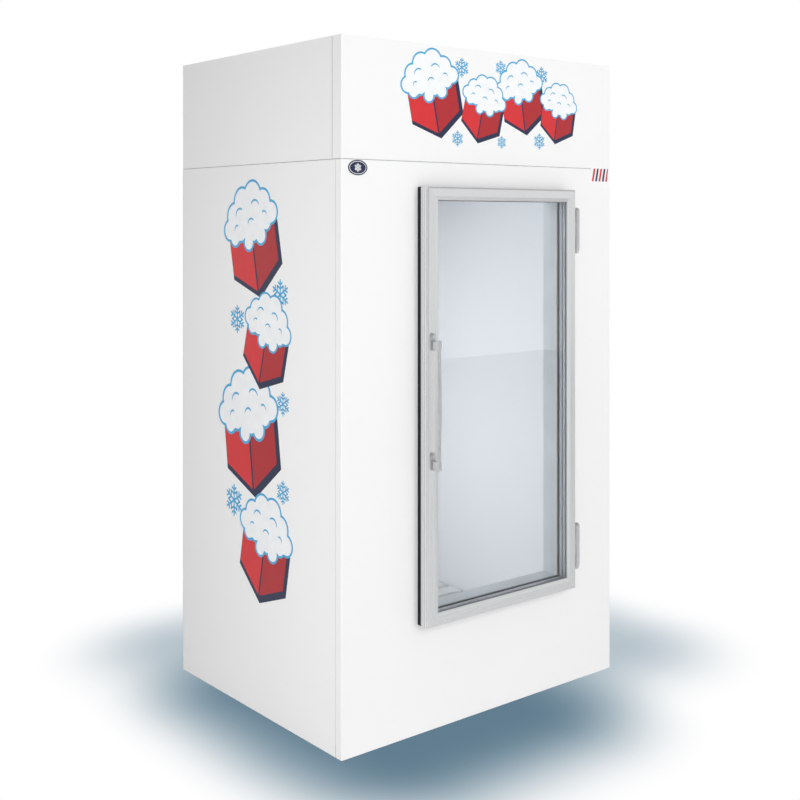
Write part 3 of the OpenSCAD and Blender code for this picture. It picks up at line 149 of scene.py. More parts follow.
def vary(tree, factor, low, high):
    """A colour that runs from low to high as factor goes from 0 to 1."""
    return add(
        tree, "ShaderNodeMix", {"Factor": factor, "A": low, "B": high}, data_type="RGBA"
    ).outputs["Result"]


def spread(tree, factor, low, high, start_at=0.0, end_at=1.0):
    """factor between start_at and end_at, as a number from low to high."""
    return add(tree, "ShaderNodeMapRange", {
        "Value": factor, "From Min": start_at, "From Max": end_at, "To Min": low, "To Max": high,
    }).outputs["Result"]


def scaled(tree, place, scale):
    return add(tree, "ShaderNodeMapping", {"Vector": place, "Scale": scale}).outputs["Vector"]


def noise(tree, place, scale, detail=2.0, rough=0.5):
    return add(
        tree, "ShaderNodeTexNoise",
        {"Vector": place, "Scale": scale, "Detail": detail, "Roughness": rough},
    ).outputs["Fac"]


def raise_by(tree, shader, height, distance, strength=1.0):
    bump = add(
        tree, "ShaderNodeBump", {"Height": height, "Distance": distance, "Strength": strength}
    )
    tree.links.new(bump.outputs["Normal"], shader.inputs["Normal"])


def link(tree, out, shader, name):
    tree.links.new(out, shader.inputs[name])


def colour4(rgb):
    return (*rgb, 1.0)


def wear(rgb, by):
    """The colour darkened to the share by, as where a finish is worn or thin."""
    return (*[c * by for c in rgb], 1.0)


# ---------------------------------------------------------------- materials


def baked_enamel(name, rgb, rough, peel=0.5):
    """Polyester enamel baked on steel: smooth, half glossy, with orange peel 2 mm across."""
    mat, tree, shader, place = start(name)
    cloud = noise(tree, place, 1.6, 3.0)
    paint = vary(tree, spread(tree, cloud, 0, 1, 0.35, 0.65), wear(rgb, 0.992), colour4(rgb))
    link(tree, paint, shader, "Base Color")
    flow = noise(tree, place, 5.0, 1.0)
    link(tree, spread(tree, flow, rough - 0.015, rough + 0.015, 0.3, 0.7), shader, "Roughness")
    raise_by(tree, shader, noise(tree, place, 480, 1.0), 0.00006, peel)
    shader.inputs["IOR"].default_value = 1.5
    return mat


def galvanised_sheet(name, dark="#A6ACB1", light="#C0C5C9"):
    """Hot-dip galvanised steel: zinc crystals about 15 mm across, each with its own grey."""
    mat, tree, shader, place = start(name)
    stir = add(tree, "ShaderNodeTexNoise", {"Vector": place, "Scale": 45.0}).outputs["Color"]
    nudge = scaled(tree, stir, (0.012, 0.012, 0.012))
    warp = add(tree, "ShaderNodeVectorMath", {0: place, 1: nudge}).outputs["Vector"]
    cell = add(tree, "ShaderNodeTexVoronoi", {"Vector": warp, "Scale": 68.0})
    grey = add(tree, "ShaderNodeSeparateColor", {"Color": cell.outputs["Color"]}).outputs["Red"]
    link(tree, vary(tree, grey, linear(dark), linear(light)), shader, "Base Color")
    link(tree, spread(tree, grey, 0.36, 0.46), shader, "Roughness")
    raise_by(tree, shader, cell.outputs["Distance"], 0.00004, 0.4)
    shader.inputs["Metallic"].default_value = 1.0
    return mat


def drawn_aluminium(name, along, colour="#EDEEEF", rough=0.27):
    """Extruded aluminium, satin anodised: die lines 0.6 mm apart that run along the bar, which
    lies on the axis along. Its highlights are stretched across the lines."""
    mat, tree, shader, place = start(name)
    stretch = [1700.0, 1700.0, 1700.0]
    stretch[along] = 3.0
    lines = noise(tree, scaled(tree, place, stretch), 1.0, 3.0, 0.65)
    wide = [s * 0.12 for s in stretch]
    bands = noise(tree, scaled(tree, place, wide), 1.0, 2.0)
    both = add(tree, "ShaderNodeMath", {0: lines, 1: bands}, operation="ADD").outputs["Value"]
    base = linear(colour)
    link(tree, vary(tree, spread(tree, both, 0, 1, 0.7, 1.3), wear(base[:3], 0.975), base),
         shader, "Base Color")
    link(tree, spread(tree, both, rough - 0.03, rough + 0.04, 0.7, 1.3), shader, "Roughness")
    raise_by(tree, shader, lines, 0.00002, 0.08)
    shader.inputs["Metallic"].default_value = 1.0
    shader.inputs["Anisotropic"].default_value = 0.5
    shader.inputs["Anisotropic Rotation"].default_value = 0.25 if along == 2 else 0.0
    return mat


def cast_alloy(name, colour="#C9CBCD", rough=0.4):
    """Die-cast alloy, tumbled and lacquered: a fine even grain of 0.5 mm and softer patches."""
    mat, tree, shader, place = start(name)
    grain = noise(tree, place, 1900, 2.0)
    patch = noise(tree, place, 55, 3.0)
    base = linear(colour)
    link(tree, vary(tree, spread(tree, patch, 0, 1, 0.35, 0.65), wear(base[:3], 0.9), base),
         shader, "Base Color")
    link(tree, spread(tree, patch, rough - 0.06, rough + 0.08, 0.3, 0.7), shader, "Roughness")
    raise_by(tree, shader, grain, 0.00003, 0.5)
    shader.inputs["Metallic"].default_value = 1.0
    return mat


def bright_metal(name, colour, rough, tarnish, size):
    """Rolled or drawn bare metal with a little tarnish in soft patches."""
    mat, tree, shader, place = start(name)
    patch = noise(tree, place, size, 5.0, 0.6)
    bright = spread(tree, patch, 0, 1, 0.35, 0.68)
    link(tree, vary(tree, bright, linear(tarnish), linear(colour)), shader, "Base Color")
    link(tree, spread(tree, patch, rough + 0.12, rough, 0.35, 0.65), shader, "Roughness")
    raise_by(tree, shader, noise(tree, place, size * 12, 2.0), 0.00002, 0.3)
    shader.inputs["Metallic"].default_value = 1.0
    return mat


def moulded_plastic(name, colour, rough, grain=900, height=0.00004):
    """Moulded or extruded plastic: a dull skin with the mould's fine texture."""
    mat, tree, shader, place = start(name)
    base = linear(colour)
    flow = noise(tree, place, 14, 3.0)
    link(tree, vary(tree, spread(tree, flow, 0, 1, 0.35, 0.65), wear(base[:3], 0.93), base),
         shader, "Base Color")
    link(tree, spread(tree, flow, rough - 0.05, rough + 0.06, 0.3, 0.7), shader, "Roughness")
    raise_by(tree, shader, noise(tree, place, grain, 2.0), height, 0.5)
    shader.inputs["IOR"].default_value = 1.47
    return mat


def rigid_foam(name):
    """Polyurethane foam: closed cells, drawn 3 mm across so that they show, and cream."""
    mat, tree, shader, place = start(name)
    cell = add(tree, "ShaderNodeTexVoronoi", {"Vector": place, "Scale": 330.0})
    link(tree, vary(tree, cell.outputs["Distance"], linear("#E9DDB0"), linear("#CDB778")),
         shader, "Base Color")
    raise_by(tree, shader, cell.outputs["Distance"], 0.0004, 0.6)
    shader.inputs["Roughness"].default_value = 0.85
    return mat


def float_glass(name):
    """Clear float glass as a thin sheet: see-through face on, more of a mirror at a slant."""
    mat, tree, shader, place = start(name)
    slant = add(tree, "ShaderNodeLayerWeight", {"Blend": 0.5}).outputs["Facing"]
    curve = add(tree, "ShaderNodeMath", {0: slant, 1: 4.0}, operation="POWER").outputs["Value"]
    link(tree, spread(tree, curve, 0.035, 1.0), shader, "Alpha")
    link(tree, vary(tree, noise(tree, place, 3.0), linear("#F2F7FA"), linear("#FFFFFF")),
         shader, "Base Color")
    shader.inputs["Metallic"].default_value = 1.0
    shader.inputs["Roughness"].default_value = 0.02
    return mat


def frosted_lens(name):
    """Frosted polycarbonate over lit diodes: an even cool glow."""
    mat, tree, shader, place = start(name)
    ripple = add(tree, "ShaderNodeTexWave", {"Vector": place, "Scale": 60.0}).outputs["Fac"]
    link(tree, vary(tree, ripple, linear("#F1F6FA"), linear("#FFFFFF")), shader, "Base Color")
    raise_by(tree, shader, ripple, 0.0002, 0.4)
    shader.inputs["Roughness"].default_value = 0.45
    shader.inputs["Emission Color"].default_value = linear("#EEF5FF")
    shader.inputs["Emission Strength"].default_value = 4.0
    return mat


def printed_vinyl(name, rgb, rough=0.35):
    """Screen-printed vinyl film: flat ink under a clear coat, with a faint mottle."""
    mat, tree, shader, place = start(name)
    mottle = spread(tree, noise(tree, place, 35, 4.0, 0.6), 0, 1, 0.3, 0.7)
    link(tree, vary(tree, mottle, wear(rgb, 0.93), colour4(rgb)), shader, "Base Color")
    film = noise(tree, place, 160, 2.0)
    link(tree, spread(tree, film, rough - 0.05, rough + 0.07, 0.3, 0.7), shader, "Roughness")
    raise_by(tree, shader, noise(tree, place, 700, 1.0), 0.00003, 0.3)
    shader.inputs["Coat Weight"].default_value = 0.25
    shader.inputs["Coat Roughness"].default_value = 0.12
    return mat


# ---------------------------------------------------------------- mesh helpers


def finish_piece(bm, name, mats, body):
    """Turns the mesh into an object that rides on a body."""
    mesh = bpy.data.meshes.new(name)
    bm.to_mesh(mesh)
    bm.free()
    for mat in mats:
        mesh.materials.append(mat)
    obj = bpy.data.objects.new(name, mesh)
    bpy.context.collection.objects.link(obj)
    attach(obj, body)


def dress(node, mat):
    """Gives a node of the frame its material."""
    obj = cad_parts[node]
    obj.data.materials.clear()
    obj.data.materials.append(mat)


def dress_all(mat, *nodes):
    for node in nodes:
        dress(node, mat)


# ---------------------------------------------------------------- operators: finishes


class FREEZER_OT_cabinet(bpy.types.Operator):
    """Finishes of the panels, the liner, the insulation and the skids"""

    bl_idname = "freezer.cabinet"
    bl_label = "Cabinet finishes"

    def execute(self, context):
        paint = context.scene.freezer_paint
        white = baked_enamel("White polyester enamel", tuple(paint.white), paint.roughness)
        dress_all(white, "front_panel", "left_side_panel", "right_side_panel",
                  "header_front_panel", "header_left_panel", "header_right_panel", "top_cover")
        zinc = galvanised_sheet("Galvanised steel")
        dress_all(zinc, "back_panel", "rear_louvre_panel", "base_pan", "skid_rails",
                  "machine_deck")
        liner = baked_enamel("Pale liner enamel", tuple(paint.liner), 0.38, 0.3)
        dress_all(liner, "liner_floor", "liner_walls", "liner_front", "liner_ceiling",
                  "evaporator_housing")
        dress_all(rigid_foam("Polyurethane foam"), "foam_shell", "foam_front")
        dress("jamb_trim", moulded_plastic("Extruded PVC trim", "#D3DADF", 0.38))
        dress_all(moulded_plastic("White polyethylene", "#E4E7E9", 0.5), "floor_rack",
                  "light_housing", "drain_tube")
        dress("light_lens", frosted_lens("Frosted polycarbonate"))
        return {"FINISHED"}


class FREEZER_OT_door(bpy.types.Operator):
    """Finishes of the door's frame, glass, gasket, handle and hinges"""

    bl_idname = "freezer.door"
    bl_label = "Door finishes"

    def execute(self, context):
        dress_all(drawn_aluminium("Anodised aluminium, upright", 2), "door_stile_left",
                  "door_stile_right")
        dress_all(drawn_aluminium("Anodised aluminium, level", 0), "door_rail_top",
                  "door_rail_bottom")
        dress("glass_spacers", drawn_aluminium("Mill aluminium spacer", 2, "#D9DCDF", 0.45))
        dress("corner_keys", cast_alloy("Cast corner keys", "#A8ABAE"))
        dress("pull_handle", cast_alloy("Tumbled cast alloy", "#D6D8DA", 0.36))
        dress_all(cast_alloy("Cast hinge alloy", "#E2E3E5", 0.45), "hinge_brackets",
                  "hinge_leaves")
        dress_all(bright_metal("Zinc-plated steel", "#C6CACD", 0.28, "#9BA1A5", 90),
                  "hinge_pins", "door_screws", "cabinet_screws")
        dress("glazing_bead", moulded_plastic("Weathered EPDM bead", "#808286", 0.6, 1300))
        dress("door_gasket", moulded_plastic("Black EPDM rubber", "#0C0C0E", 0.62, 1300))
        dress("thermal_break", moulded_plastic("Grey glass-filled nylon", "#6C6E72", 0.5))
        dress_all(float_glass("Float glass"), "outer_pane", "middle_pane", "inner_pane")
        return {"FINISHED"}


class FREEZER_OT_machinery(bpy.types.Operator):
    """Finishes of the refrigeration unit, the evaporator and the controls"""

    bl_idname = "freezer.machinery"
    bl_label = "Machinery finishes"

    def execute(self, context):
        dress_all(baked_enamel("Black shell paint", linear("#15161A")[:3], 0.32, 0.9),
                  "compressor", "condenser_fan_motor")
        dress_all(moulded_plastic("Grey rubber", "#2A2B2D", 0.7, 1100), "compressor_grommets")
        fins = bright_metal("Bright fin aluminium", "#D3D6D9", 0.3, "#AEB3B7", 40)
        dress_all(fins, "condenser_coil", "evaporator_coil", "condenser_fan_blade")
        dress("condenser_shroud", galvanised_sheet("Galvanised shroud", "#9AA0A5", "#C9CDD0"))
        dress_all(bright_metal("Drawn copper", "#C6835C", 0.24, "#8A4E33", 60),
                  "filter_drier", "refrigerant_lines")
        dress("control_box", baked_enamel("Grey box enamel", linear("#7C8288")[:3], 0.4, 0.7))
        dress_all(moulded_plastic("Black ABS", "#121315", 0.36), "temperature_knob",
                  "power_rocker", "cord_gland", "drain_pan")
        dress_all(moulded_plastic("Glass-filled fan nylon", "#1D1F22", 0.45),
                  "evaporator_fan_left", "evaporator_fan_right")
        dress_all(bright_metal("Plated guard steel", "#C6CACD", 0.3, "#9BA1A5", 70),
                  "fan_guards", "evaporator_fan_motors")
        return {"FINISHED"}


# ---------------------------------------------------------------- operators: printed vinyl


def prism(bm, corners, low, high, mat):
    """A thin layer of film over the corners, given in the sheet's plane."""
    verts = [bm.verts.new((x, y, low)) for x, y in corners]
    face = bm.faces.new(verts)
    made = bmesh.ops.extrude_face_region(bm, geom=[face])
    top = [v for v in made["geom"] if isinstance(v, bmesh.types.BMVert)]
    bmesh.ops.translate(bm, vec=(0, 0, high - low), verts=top)
    for v in [*verts, *top]:
        for f in v.link_faces:
            f.material_index = mat


def drift(lobes, middle, grow=0.0, steps=180):
    """The outline of a heap of round lobes (x, y, radius), all seen from its middle."""
    ring = []
    for i in range(steps):
        aim = Vector((math.cos(math.tau * i / steps), math.sin(math.tau * i / steps)))
        far = 0.0
        for x, y, r in lobes:
            to = Vector((x - middle[0], y - middle[1]))
            along = to.dot(aim)
            off = (r + grow) ** 2 - (to.length_squared - along * along)
            if off > 0:
                far = max(far, along + math.sqrt(off))
        ring.append((middle[0] + aim.x * far, middle[1] + aim.y * far))
    return ring


def turned(points, angle, x, y):
    c, s = math.cos(angle), math.sin(angle)
    return [(x + px * c - py * s, y + px * s + py * c) for px, py in points]


# Materials of a print, in the order of vinyl_colours
RED, DEEP, NAVY, SKY, SNOW = range(5)

# A printed ice cube, in shares of its radius: how large its navy outline is and how far that
# falls, how far each face draws back from its edges, and how far blue shows round the snow
OUTLINE, DROP, SEAM, RIM = 1.05, 0.06, 0.06, 0.05
# The heap of snow as lobes (x, y, radius), and its middle
SNOW_LOBES = (
    (-0.80, 0.44, 0.19), (-0.56, 0.68, 0.25), (-0.22, 0.90, 0.28), (0.18, 0.94, 0.29),
    (0.52, 0.74, 0.25), (0.78, 0.48, 0.20), (-0.62, 0.26, 0.17), (-0.38, 0.30, 0.16),
    (-0.14, 0.06, 0.15), (0.08, 0.22, 0.17), (0.32, 0.12, 0.17), (0.56, 0.34, 0.16),
    (0.0, 0.5, 0.42), (-0.4, 0.5, 0.3), (0.4, 0.5, 0.3),
)
SNOW_MIDDLE = (0.0, 0.5)
# The snow's folds as crescents (x, y, radius, lean in degrees); the inner edge is a smaller arc
# that lies a little lower
FOLDS = (
    (-0.36, 0.66, 0.16, 20), (0.22, 0.70, 0.17, -15), (0.02, 0.40, 0.13, 5),
    (0.52, 0.48, 0.10, -30), (-0.52, 0.40, 0.10, 30),
)
FOLD_INNER, FOLD_SAG = 0.94, 0.03
# Films of a whole cube, so that the next one can lie over its edge
LAYERS = 5


def ice_cube(bm, x, y, r, tilt, film, base=0):
    """A printed ice cube seen from a corner: navy shadow, three red faces and a snow cap."""

    def lay(points, low, high, mat):
        prism(bm, turned(points, tilt, x, y), base + low * film, base + high * film, mat)

    hexagon = [
        (r * math.sin(math.tau * i / 6), r * math.cos(math.tau * i / 6)) for i in range(6)
    ]
    lay([(px * OUTLINE + r * DROP, py * OUTLINE - r * DROP) for px, py in hexagon], 0, 1, NAVY)
    # The three faces meet at the middle; each is a rhombus pulled a little towards its middle
    for i, mat in ((1, DEEP), (3, RED), (5, RED)):
        rhombus = [(0, 0), hexagon[i], hexagon[(i + 1) % 6], hexagon[(i + 2) % 6]]
        mx = sum(px for px, py in rhombus) / 4
        my = sum(py for px, py in rhombus) / 4
        lay([(px + (mx - px) * SEAM, py + (my - py) * SEAM) for px, py in rhombus], 1, 2, mat)
    # Snow lies on the upper face, heaps over its far edges and hangs over the near ones
    for grow, low, mat in ((RIM, 2, SKY), (0.0, 3, SNOW)):
        heap = drift(SNOW_LOBES, SNOW_MIDDLE, grow)
        lay([(px * r, py * r) for px, py in heap], low, low + 1, mat)
    for fx, fy, outer, lean in FOLDS:
        arc = [math.radians(lean + 30 + a * 12) for a in range(11)]
        inner = outer * FOLD_INNER
        fold = [(fx + outer * math.cos(a), fy + outer * math.sin(a)) for a in arc]
        fold += [(fx + inner * math.cos(a), fy - FOLD_SAG + inner * math.sin(a))
                 for a in reversed(arc)]
        lay([(px * r, py * r) for px, py in fold], 4, 4.8, SKY)


def snowflake(bm, x, y, r, film, mat, low=0):
    """A six-armed flake with two pairs of barbs on each arm, cut as one outline."""
    w = r * 0.07  # half an arm's width
    slant = Vector((math.sin(math.radians(60)), math.cos(math.radians(60))))
    right = [Vector((w, w * math.sqrt(3)))]
    # Each pair of barbs: how far out along the arm it starts, and how long it is
    for at, size in ((0.36, 0.34), (0.64, 0.24)):
        foot = Vector((w, at * r))
        up = Vector((0, 2.2 * w))
        right += [foot, foot + slant * size * r, foot + slant * size * r + up, foot + up]
    right.append(Vector((w, r)))
    arm = [(-p.x, p.y) for p in right[1:]] + [(0, r + w)] + [(p.x, p.y) for p in right[::-1]]
    ring = []
    for i in range(6):
        ring += turned(arm, -math.tau * i / 6, x, y)
    prism(bm, ring, low, low + film, mat)


def vinyl_colours(scene):
    v = scene.freezer_vinyl
    return [
        printed_vinyl("Red printed vinyl", tuple(v.red)),
        printed_vinyl("Deep red printed vinyl", tuple(v.deep_red)),
        printed_vinyl("Navy printed vinyl", tuple(v.navy)),
        printed_vinyl("Sky blue printed vinyl", tuple(v.sky)),
        printed_vinyl("White printed vinyl", linear("#FBFDFF")[:3]),
    ]


# Turns for a print drawn in X and Y: its +X runs along the panel and its +Z points out of it
ON_FRONT = Matrix.Rotation(math.radians(90), 4, "X")
ON_LEFT = Matrix.Rotation(math.radians(-90), 4, "Z") @ ON_FRONT
ON_RIGHT = Matrix.Rotation(math.radians(90), 4, "Z") @ ON_FRONT


def stick(bm, turn, at):
    """Turns a print onto its panel and moves it to its place."""
    bmesh.ops.transform(bm, matrix=Matrix.Translation(at) @ turn, verts=bm.verts)
    bmesh.ops.recalc_face_normals(bm, faces=bm.faces)


class FREEZER_OT_header_print(bpy.types.Operator):
    """Ice cubes printed on the header's front, tumbling in a row between snowflakes"""

    bl_idname = "freezer.header_print"
    bl_label = "Header print"

    def execute(self, context):
        v = context.scene.freezer_vinyl
        # Cubes (x, y, share of the radius, tilt in degrees) and flakes (x, y, radius), measured
        # from the print's middle
        cubes = ((-0.250, 0.004, 1.12, 12), (-0.045, -0.028, 0.90, -14), (0.130, 0.018, 1.0, 9),
                 (0.298, -0.022, 0.84, -10))
        flakes = ((-0.132, 0.104, 0.030), (0.036, 0.116, 0.024), (0.222, 0.104, 0.030),
                  (-0.150, -0.118, 0.024), (0.212, -0.112, 0.026), (0.040, -0.122, 0.020))
        middle_x, middle_z = 0.018, 1.932
        bm = bmesh.new()
        for i, (x, y, size, tilt) in enumerate(cubes):
            ice_cube(bm, x, y, v.cube * size, math.radians(tilt), v.film, i % 2 * LAYERS * v.film)
        for x, y, size in flakes:
            snowflake(bm, x, y, size, v.film, SKY)
        stick(bm, ON_FRONT, (middle_x, HEAD_LO.y, middle_z))
        finish_piece(bm, "header_print", vinyl_colours(context.scene), "cabinet")
        return {"FINISHED"}


class FREEZER_OT_side_print(bpy.types.Operator):
    """Ice cubes printed down both sides of the cabinet"""

    bl_idname = "freezer.side_print"
    bl_label = "Side print"

    def execute(self, context):
        v = context.scene.freezer_vinyl
        # As on the header, in the left side's layout; the right side has it flipped
        cubes = ((-0.022, 0.500, 0.96, 12), (0.048, 0.185, 0.80, -15), (-0.042, -0.115, 1.06, 8),
                 (0.040, -0.470, 0.90, -11))
        flakes = ((0.135, 0.345, 0.046), (-0.115, 0.255, 0.044), (0.150, 0.010, 0.036),
                  (-0.135, -0.335, 0.050), (0.150, -0.262, 0.036))
        middle_y, middle_z = -0.010, 0.985
        for name, turn, x, flip in (("left_side_print", ON_LEFT, SIDE_LO.x, 1),
                                    ("right_side_print", ON_RIGHT, -SIDE_LO.x, -1)):
            bm = bmesh.new()
            for i, (px, py, size, tilt) in enumerate(cubes):
                ice_cube(bm, flip * px, py, v.side_cube * size, math.radians(tilt), v.film,
                         i % 2 * LAYERS * v.film)
            for px, py, size in flakes:
                snowflake(bm, flip * px, py, size, v.film, SKY)
            stick(bm, turn, (x, middle_y, middle_z))
            finish_piece(bm, name, vinyl_colours(context.scene), "cabinet")
        return {"FINISHED"}


class FREEZER_OT_badge(bpy.types.Operator):
    """An oval plate under the header's left corner, and a striped strip at the right"""

    bl_idname = "freezer.badge"
    bl_label = "Badge and stripes"

    def execute(self, context):
        v = context.scene.freezer_vinyl
        mats = vinyl_colours(context.scene)
        # The plate's half width and half height, then the heights of its body, of a pale line
        # inside its edge and of its field
        half_wide, half_tall = 0.035, 0.0225
        body, line, field = 0.0012, 0.00135, 0.0015
        bm = bmesh.new()
        oval = [
            (half_wide * math.cos(math.tau * i / 48), half_tall * math.sin(math.tau * i / 48))
            for i in range(48)
        ]
        prism(bm, oval, 0, body, NAVY)
        prism(bm, [(px * 0.88, py * 0.84) for px, py in oval], body, line, SNOW)
        prism(bm, [(px * 0.83, py * 0.77) for px, py in oval], line, field, NAVY)
        snowflake(bm, 0, 0, 0.0125, 0.0002, SNOW, field)
        stick(bm, ON_FRONT, (CAB_LO.x + 0.058, CAB_LO.y, 1.7125))
        finish_piece(bm, "oval_badge", mats, "cabinet")

        # The strip's size and its distance from the panel's edge, then its bars' margins,
        # spacing, width and lean
        wide, tall, from_edge = 0.092, 0.052, 0.006
        margin, end_margin, pitch, bar_wide, lean = 0.004, 0.003, 0.0172, 0.0095, 0.010
        bm = bmesh.new()
        prism(bm, [(0, 0), (wide, 0), (wide, tall), (0, tall)], 0, v.film, SNOW)
        for i in range(5):
            x = margin + i * pitch
            bar = [(x, margin), (x + bar_wide, margin), (x + bar_wide + lean, tall - margin),
                   (x + lean, tall - margin)]
            bar = [(min(px, wide - end_margin), py) for px, py in bar]
            prism(bm, bar, v.film, 2 * v.film, (RED, NAVY)[i % 2])
        stick(bm, ON_FRONT, (CAB_HI.x - from_edge - wide, CAB_LO.y, 1.690))
        finish_piece(bm, "striped_strip", mats, "cabinet")
        return {"FINISHED"}


# ---------------------------------------------------------------- operators: fasteners


def screw_head(bm, at, turn, r):
    """A screw's round head with sloped sides and a round recess in its top."""
    begin = len(bm.verts)
    made = bmesh.ops.create_cone(bm, cap_ends=True, segments=20, radius1=r, radius2=r * 0.72,
                                 depth=r * 0.55)["verts"]
    bmesh.ops.translate(bm, vec=(0, 0, r * 0.275), verts=made)
    top = [f for f in bm.faces if f.normal.z > 0.9 and all(v in made for v in f.verts)]
    bmesh.ops.inset_region(bm, faces=top, thickness=r * 0.34, depth=0)
    bmesh.ops.translate(bm, vec=(0, 0, -r * 0.2), verts=list({v for f in top for v in f.verts}))
    bm.verts.ensure_lookup_table()
    bmesh.ops.transform(bm, matrix=Matrix.Translation(at) @ turn, verts=bm.verts[begin:])


class FREEZER_OT_rear_screws(bpy.types.Operator):
    """Screw heads round the rear louvred panel and down the back panel"""

    bl_idname = "freezer.rear_screws"
    bl_label = "Rear screws"

    def execute(self, context):
        low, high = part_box("rear_louvre_panel")
        # The outer columns on the louvred panel and on the back panel, to both sides, and how
        # the back panel's screws are spaced upwards
        louvre_x, back_x = 0.535, 0.568
        first, pitch, count = 0.09, 0.228, 8
        rows = (low.z + 0.012, high.z - 0.014)
        spots = [(x, z) for x in (-louvre_x, -0.27, 0.0, 0.27, louvre_x) for z in rows]
        spots += [(x, low.z + up) for up in (0.12, 0.23) for x in (-louvre_x, louvre_x)]
        spots += [(x, first + i * pitch) for x in (-back_x, back_x) for i in range(count)]
        bm = bmesh.new()
        face = Matrix.Rotation(math.radians(-90), 4, "X")
        for x, z in spots:
            screw_head(bm, (x, BACK_HI.y, z), face, 0.0045)
        steel = bright_metal("Zinc-plated screws", "#C9CCCF", 0.27, "#9CA1A5", 120)
        finish_piece(bm, "rear_screw_heads", [steel], "cabinet")
        return {"FINISHED"}


# ---------------------------------------------------------------- operators: stage


def area_lamp(name, at, aim, size, power, colour=(1, 1, 1), tall=None):
    """A lamp at a point that shines towards aim; it is square unless tall is given."""
    lamp = bpy.data.lights.new(name, "AREA")
    lamp.shape = "RECTANGLE"
    lamp.size = size
    lamp.size_y = tall or size
    lamp.energy = power
    lamp.color = colour
    obj = bpy.data.objects.new(name, lamp)
    bpy.context.collection.objects.link(obj)
    obj.location = at
    obj.rotation_euler = (Vector(aim) - Vector(at)).to_track_quat("-Z", "Y").to_euler()
    return obj


def painted_shadow_blur(tree, middle, half, reach, lowest):
    """A painted shadow: lowest over a rectangle on the floor, rising softly to 1 at a distance of
    reach.
    """
    place = add(tree, "ShaderNodeTexCoord").outputs["Object"]
    for value, step in ((middle, "SUBTRACT"), (None, "ABSOLUTE"), (half, "SUBTRACT"),
                        ((0, 0, 0), "MAXIMUM")):
        inputs = {0: place} if value is None else {0: place, 1: value}
        place = add(tree, "ShaderNodeVectorMath", inputs, operation=step).outputs["Vector"]
    far = add(tree, "ShaderNodeVectorMath", {0: place}, operation="LENGTH").outputs["Value"]
    return add(
        tree, "ShaderNodeMapRange", {"Value": far, "From Max": reach, "To Min": lowest},
        interpolation_type="SMOOTHERSTEP",
    ).outputs["Result"]


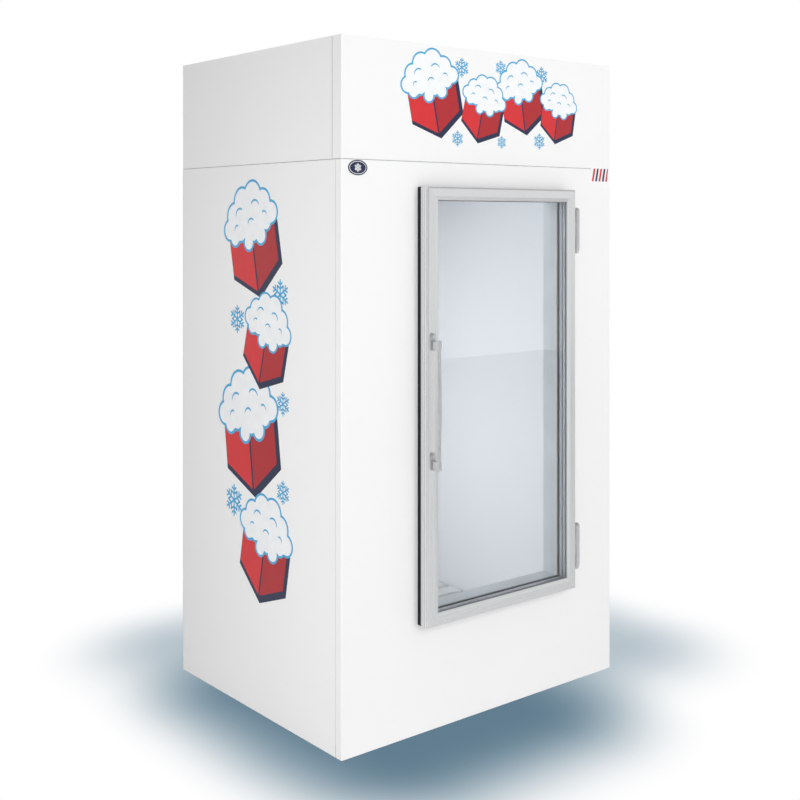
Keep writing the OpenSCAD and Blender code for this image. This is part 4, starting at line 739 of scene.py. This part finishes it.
class FREEZER_OT_stage(bpy.types.Operator):
    """Camera, pale floor with a painted shadow, studio lamps and the lamp in the storage"""

    bl_idname = "freezer.stage"
    bl_label = "Stage"

    def execute(self, context):
        scene = context.scene
        studio = scene.freezer_studio
        scene.view_settings.view_transform = "Standard"

        # The camera that fits the photo: level, with its frame shifted down
        data = bpy.data.cameras.new("Camera")
        data.lens = 54.4
        data.sensor_width = 36
        data.shift_y = -0.2229
        data.clip_end = 200
        camera = bpy.data.objects.new("Camera", data)
        bpy.context.collection.objects.link(camera)
        camera.location = (-2.6463, -3.2630, 1.5552)
        camera.rotation_euler = (math.radians(90), 0, -0.684)
        scene.camera = camera

        # Floor: pale, with a painted slate-blue shadow that gathers where the cabinet meets it
        bm = bmesh.new()
        bmesh.ops.create_grid(bm, x_segments=2, y_segments=2, size=8)
        mesh = bpy.data.meshes.new("studio_floor")
        bm.to_mesh(mesh)
        bm.free()
        floor = bpy.data.objects.new("studio_floor", mesh)
        bpy.context.collection.objects.link(floor)
        mat = bpy.data.materials.new("Studio floor")
        mat.use_nodes = True
        tree = mat.node_tree
        tree.nodes.clear()
        # Painted shadow as two soft blurs of a footprint: a dark one towards the front and a wide
        # faint one
        outside_painted_shadow = 1.0
        painted_shadow_blurs = (((-0.178, -0.211, 0), (0.22, 0.308, 0), 0.657, 0.956),
                 ((0.154, 0.172, 0), (0.58, 0.46, 0), 0.63, 0.457))
        for middle, half, reach, painted_shadow_depth in painted_shadow_blurs:
            clear = painted_shadow_blur(tree, middle, half, reach, 1 - painted_shadow_depth)
            outside_painted_shadow = add(tree, "ShaderNodeMath", {0: clear, 1: outside_painted_shadow},
                           operation="MULTIPLY").outputs["Value"]
        # Camera rays see white darkened to slate blue where the painted shadow lies
        floor_with_painted_shadow = vary(tree, outside_painted_shadow, (0.365, 0.475, 0.545, 1), (1, 1, 1, 1))
        floor_with_painted_shadow = add(tree, "ShaderNodeGamma", {"Color": floor_with_painted_shadow, "Gamma": 2.2}).outputs["Color"]
        glow = add(tree, "ShaderNodeEmission", {"Color": floor_with_painted_shadow, "Strength": 1.0})
        paper = add(tree, "ShaderNodeBsdfDiffuse", {"Color": linear("#F0F0F0")})
        # Camera rays see the floor with its painted shadow; other rays see plain paper
        rays = add(tree, "ShaderNodeLightPath").outputs["Is Camera Ray"]
        both = add(tree, "ShaderNodeMixShader",
                   {0: rays, 1: paper.outputs[0], 2: glow.outputs[0]})
        add(tree, "ShaderNodeOutputMaterial", {"Surface": both.outputs[0]})
        mesh.materials.append(mat)

        # World: even light, white to the camera and through the glass. Reflections see a white
        # horizon that falls off to a grey ceiling and to a darker left
        world = bpy.data.worlds.new("Studio")
        scene.world = world
        world.use_nodes = True
        tree = world.node_tree
        tree.nodes.clear()
        path = add(tree, "ShaderNodeLightPath")
        clear = add(tree, "ShaderNodeMath",
                    {0: path.outputs["Is Camera Ray"], 1: path.outputs["Is Transmission Ray"]},
                    operation="MAXIMUM").outputs["Value"]
        aim = add(tree, "ShaderNodeTexCoord").outputs["Generated"]
        parts = add(tree, "ShaderNodeSeparateXYZ", {"Vector": aim}).outputs
        ceiling = spread(tree, parts["Z"], 0.9, 0.5, -0.02, 0.28)
        left = spread(tree, parts["X"], 0.7, 1, -0.75, -0.05)
        mirrored = add(tree, "ShaderNodeMath", {0: ceiling, 1: left},
                       operation="MULTIPLY").outputs["Value"]
        strength = studio.world
        for kind, value in ((path.outputs["Is Glossy Ray"], mirrored), (clear, 1.0)):
            strength = add(tree, "ShaderNodeMix", {"Factor": kind, "A": strength, "B": value},
                           data_type="FLOAT").outputs["Result"]
        sky = add(tree, "ShaderNodeBackground",
                  {"Color": linear("#FFFFFF"), "Strength": strength})
        add(tree, "ShaderNodeOutputWorld", {"Surface": sky.outputs[0]})

        # The studio's lamps aren't mirrored in glass or metal
        key = area_lamp("key_lamp", (0.15, -6.6, 2.7), (0.15, -0.4, 1.0), 4.4, studio.key)
        fill = area_lamp("fill_lamp", (-2.0, -0.6, 1.1), (-0.58, -0.45, 1.0), 0.7, studio.fill,
                         tall=2.2)
        top = area_lamp("top_lamp", (0.2, -0.6, 4.6), (0.0, 0.0, 0.0), 3.2, studio.top)
        for lamp in (key, fill, top):
            lamp.visible_glossy = False
        # Fills the storage from its left wall and isn't seen itself
        low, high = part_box("liner_walls")
        middle = (low + high) / 2
        spot = (low.x + 0.1, middle.y, middle.z + 0.03)
        inner = area_lamp("storage_lamp", spot, (high.x, high.y - 0.12, spot[2]), 0.5,
                          studio.inside, (1.0, 0.99, 0.975), 1.4)
        inner.visible_camera = False
        inner.visible_transmission = False
        inner.visible_glossy = False
        return {"FINISHED"}


PIECES = (FREEZER_OT_cabinet, FREEZER_OT_door, FREEZER_OT_machinery, FREEZER_OT_header_print,
          FREEZER_OT_side_print, FREEZER_OT_badge, FREEZER_OT_rear_screws, FREEZER_OT_stage)


class FREEZER_PT_panel(bpy.types.Panel):
    """Lists the freezer's pieces and their settings"""

    bl_idname = "FREEZER_PT_panel"
    bl_label = "Freezer"
    bl_space_type = "VIEW_3D"
    bl_region_type = "UI"
    bl_category = "Freezer"

    def draw(self, context):
        for group in ("freezer_paint", "freezer_vinyl", "freezer_studio"):
            settings = getattr(context.scene, group)
            for key in settings.__annotations__:
                self.layout.prop(settings, key)
        for piece in PIECES:
            self.layout.operator(piece.bl_idname)


GROUPS = (("freezer_paint", PaintSettings), ("freezer_vinyl", VinylSettings),
          ("freezer_studio", StudioSettings))


def register():
    for name, group in GROUPS:
        bpy.utils.register_class(group)
        setattr(bpy.types.Scene, name, bpy.props.PointerProperty(type=group))
    for cls in (*PIECES, FREEZER_PT_panel):
        bpy.utils.register_class(cls)


def unregister():
    for cls in reversed((*PIECES, FREEZER_PT_panel)):
        bpy.utils.unregister_class(cls)
    for name, group in reversed(GROUPS):
        delattr(bpy.types.Scene, name)
        bpy.utils.unregister_class(group)


def corners(bounds):
    return [[float(c) for c in corner] for corner in bounds]


def main():
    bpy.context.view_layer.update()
    register()
    for piece in PIECES:
        group, name = piece.bl_idname.split(".")
        getattr(getattr(bpy.ops, group), name)()


if __name__ == "__main__":
    main()
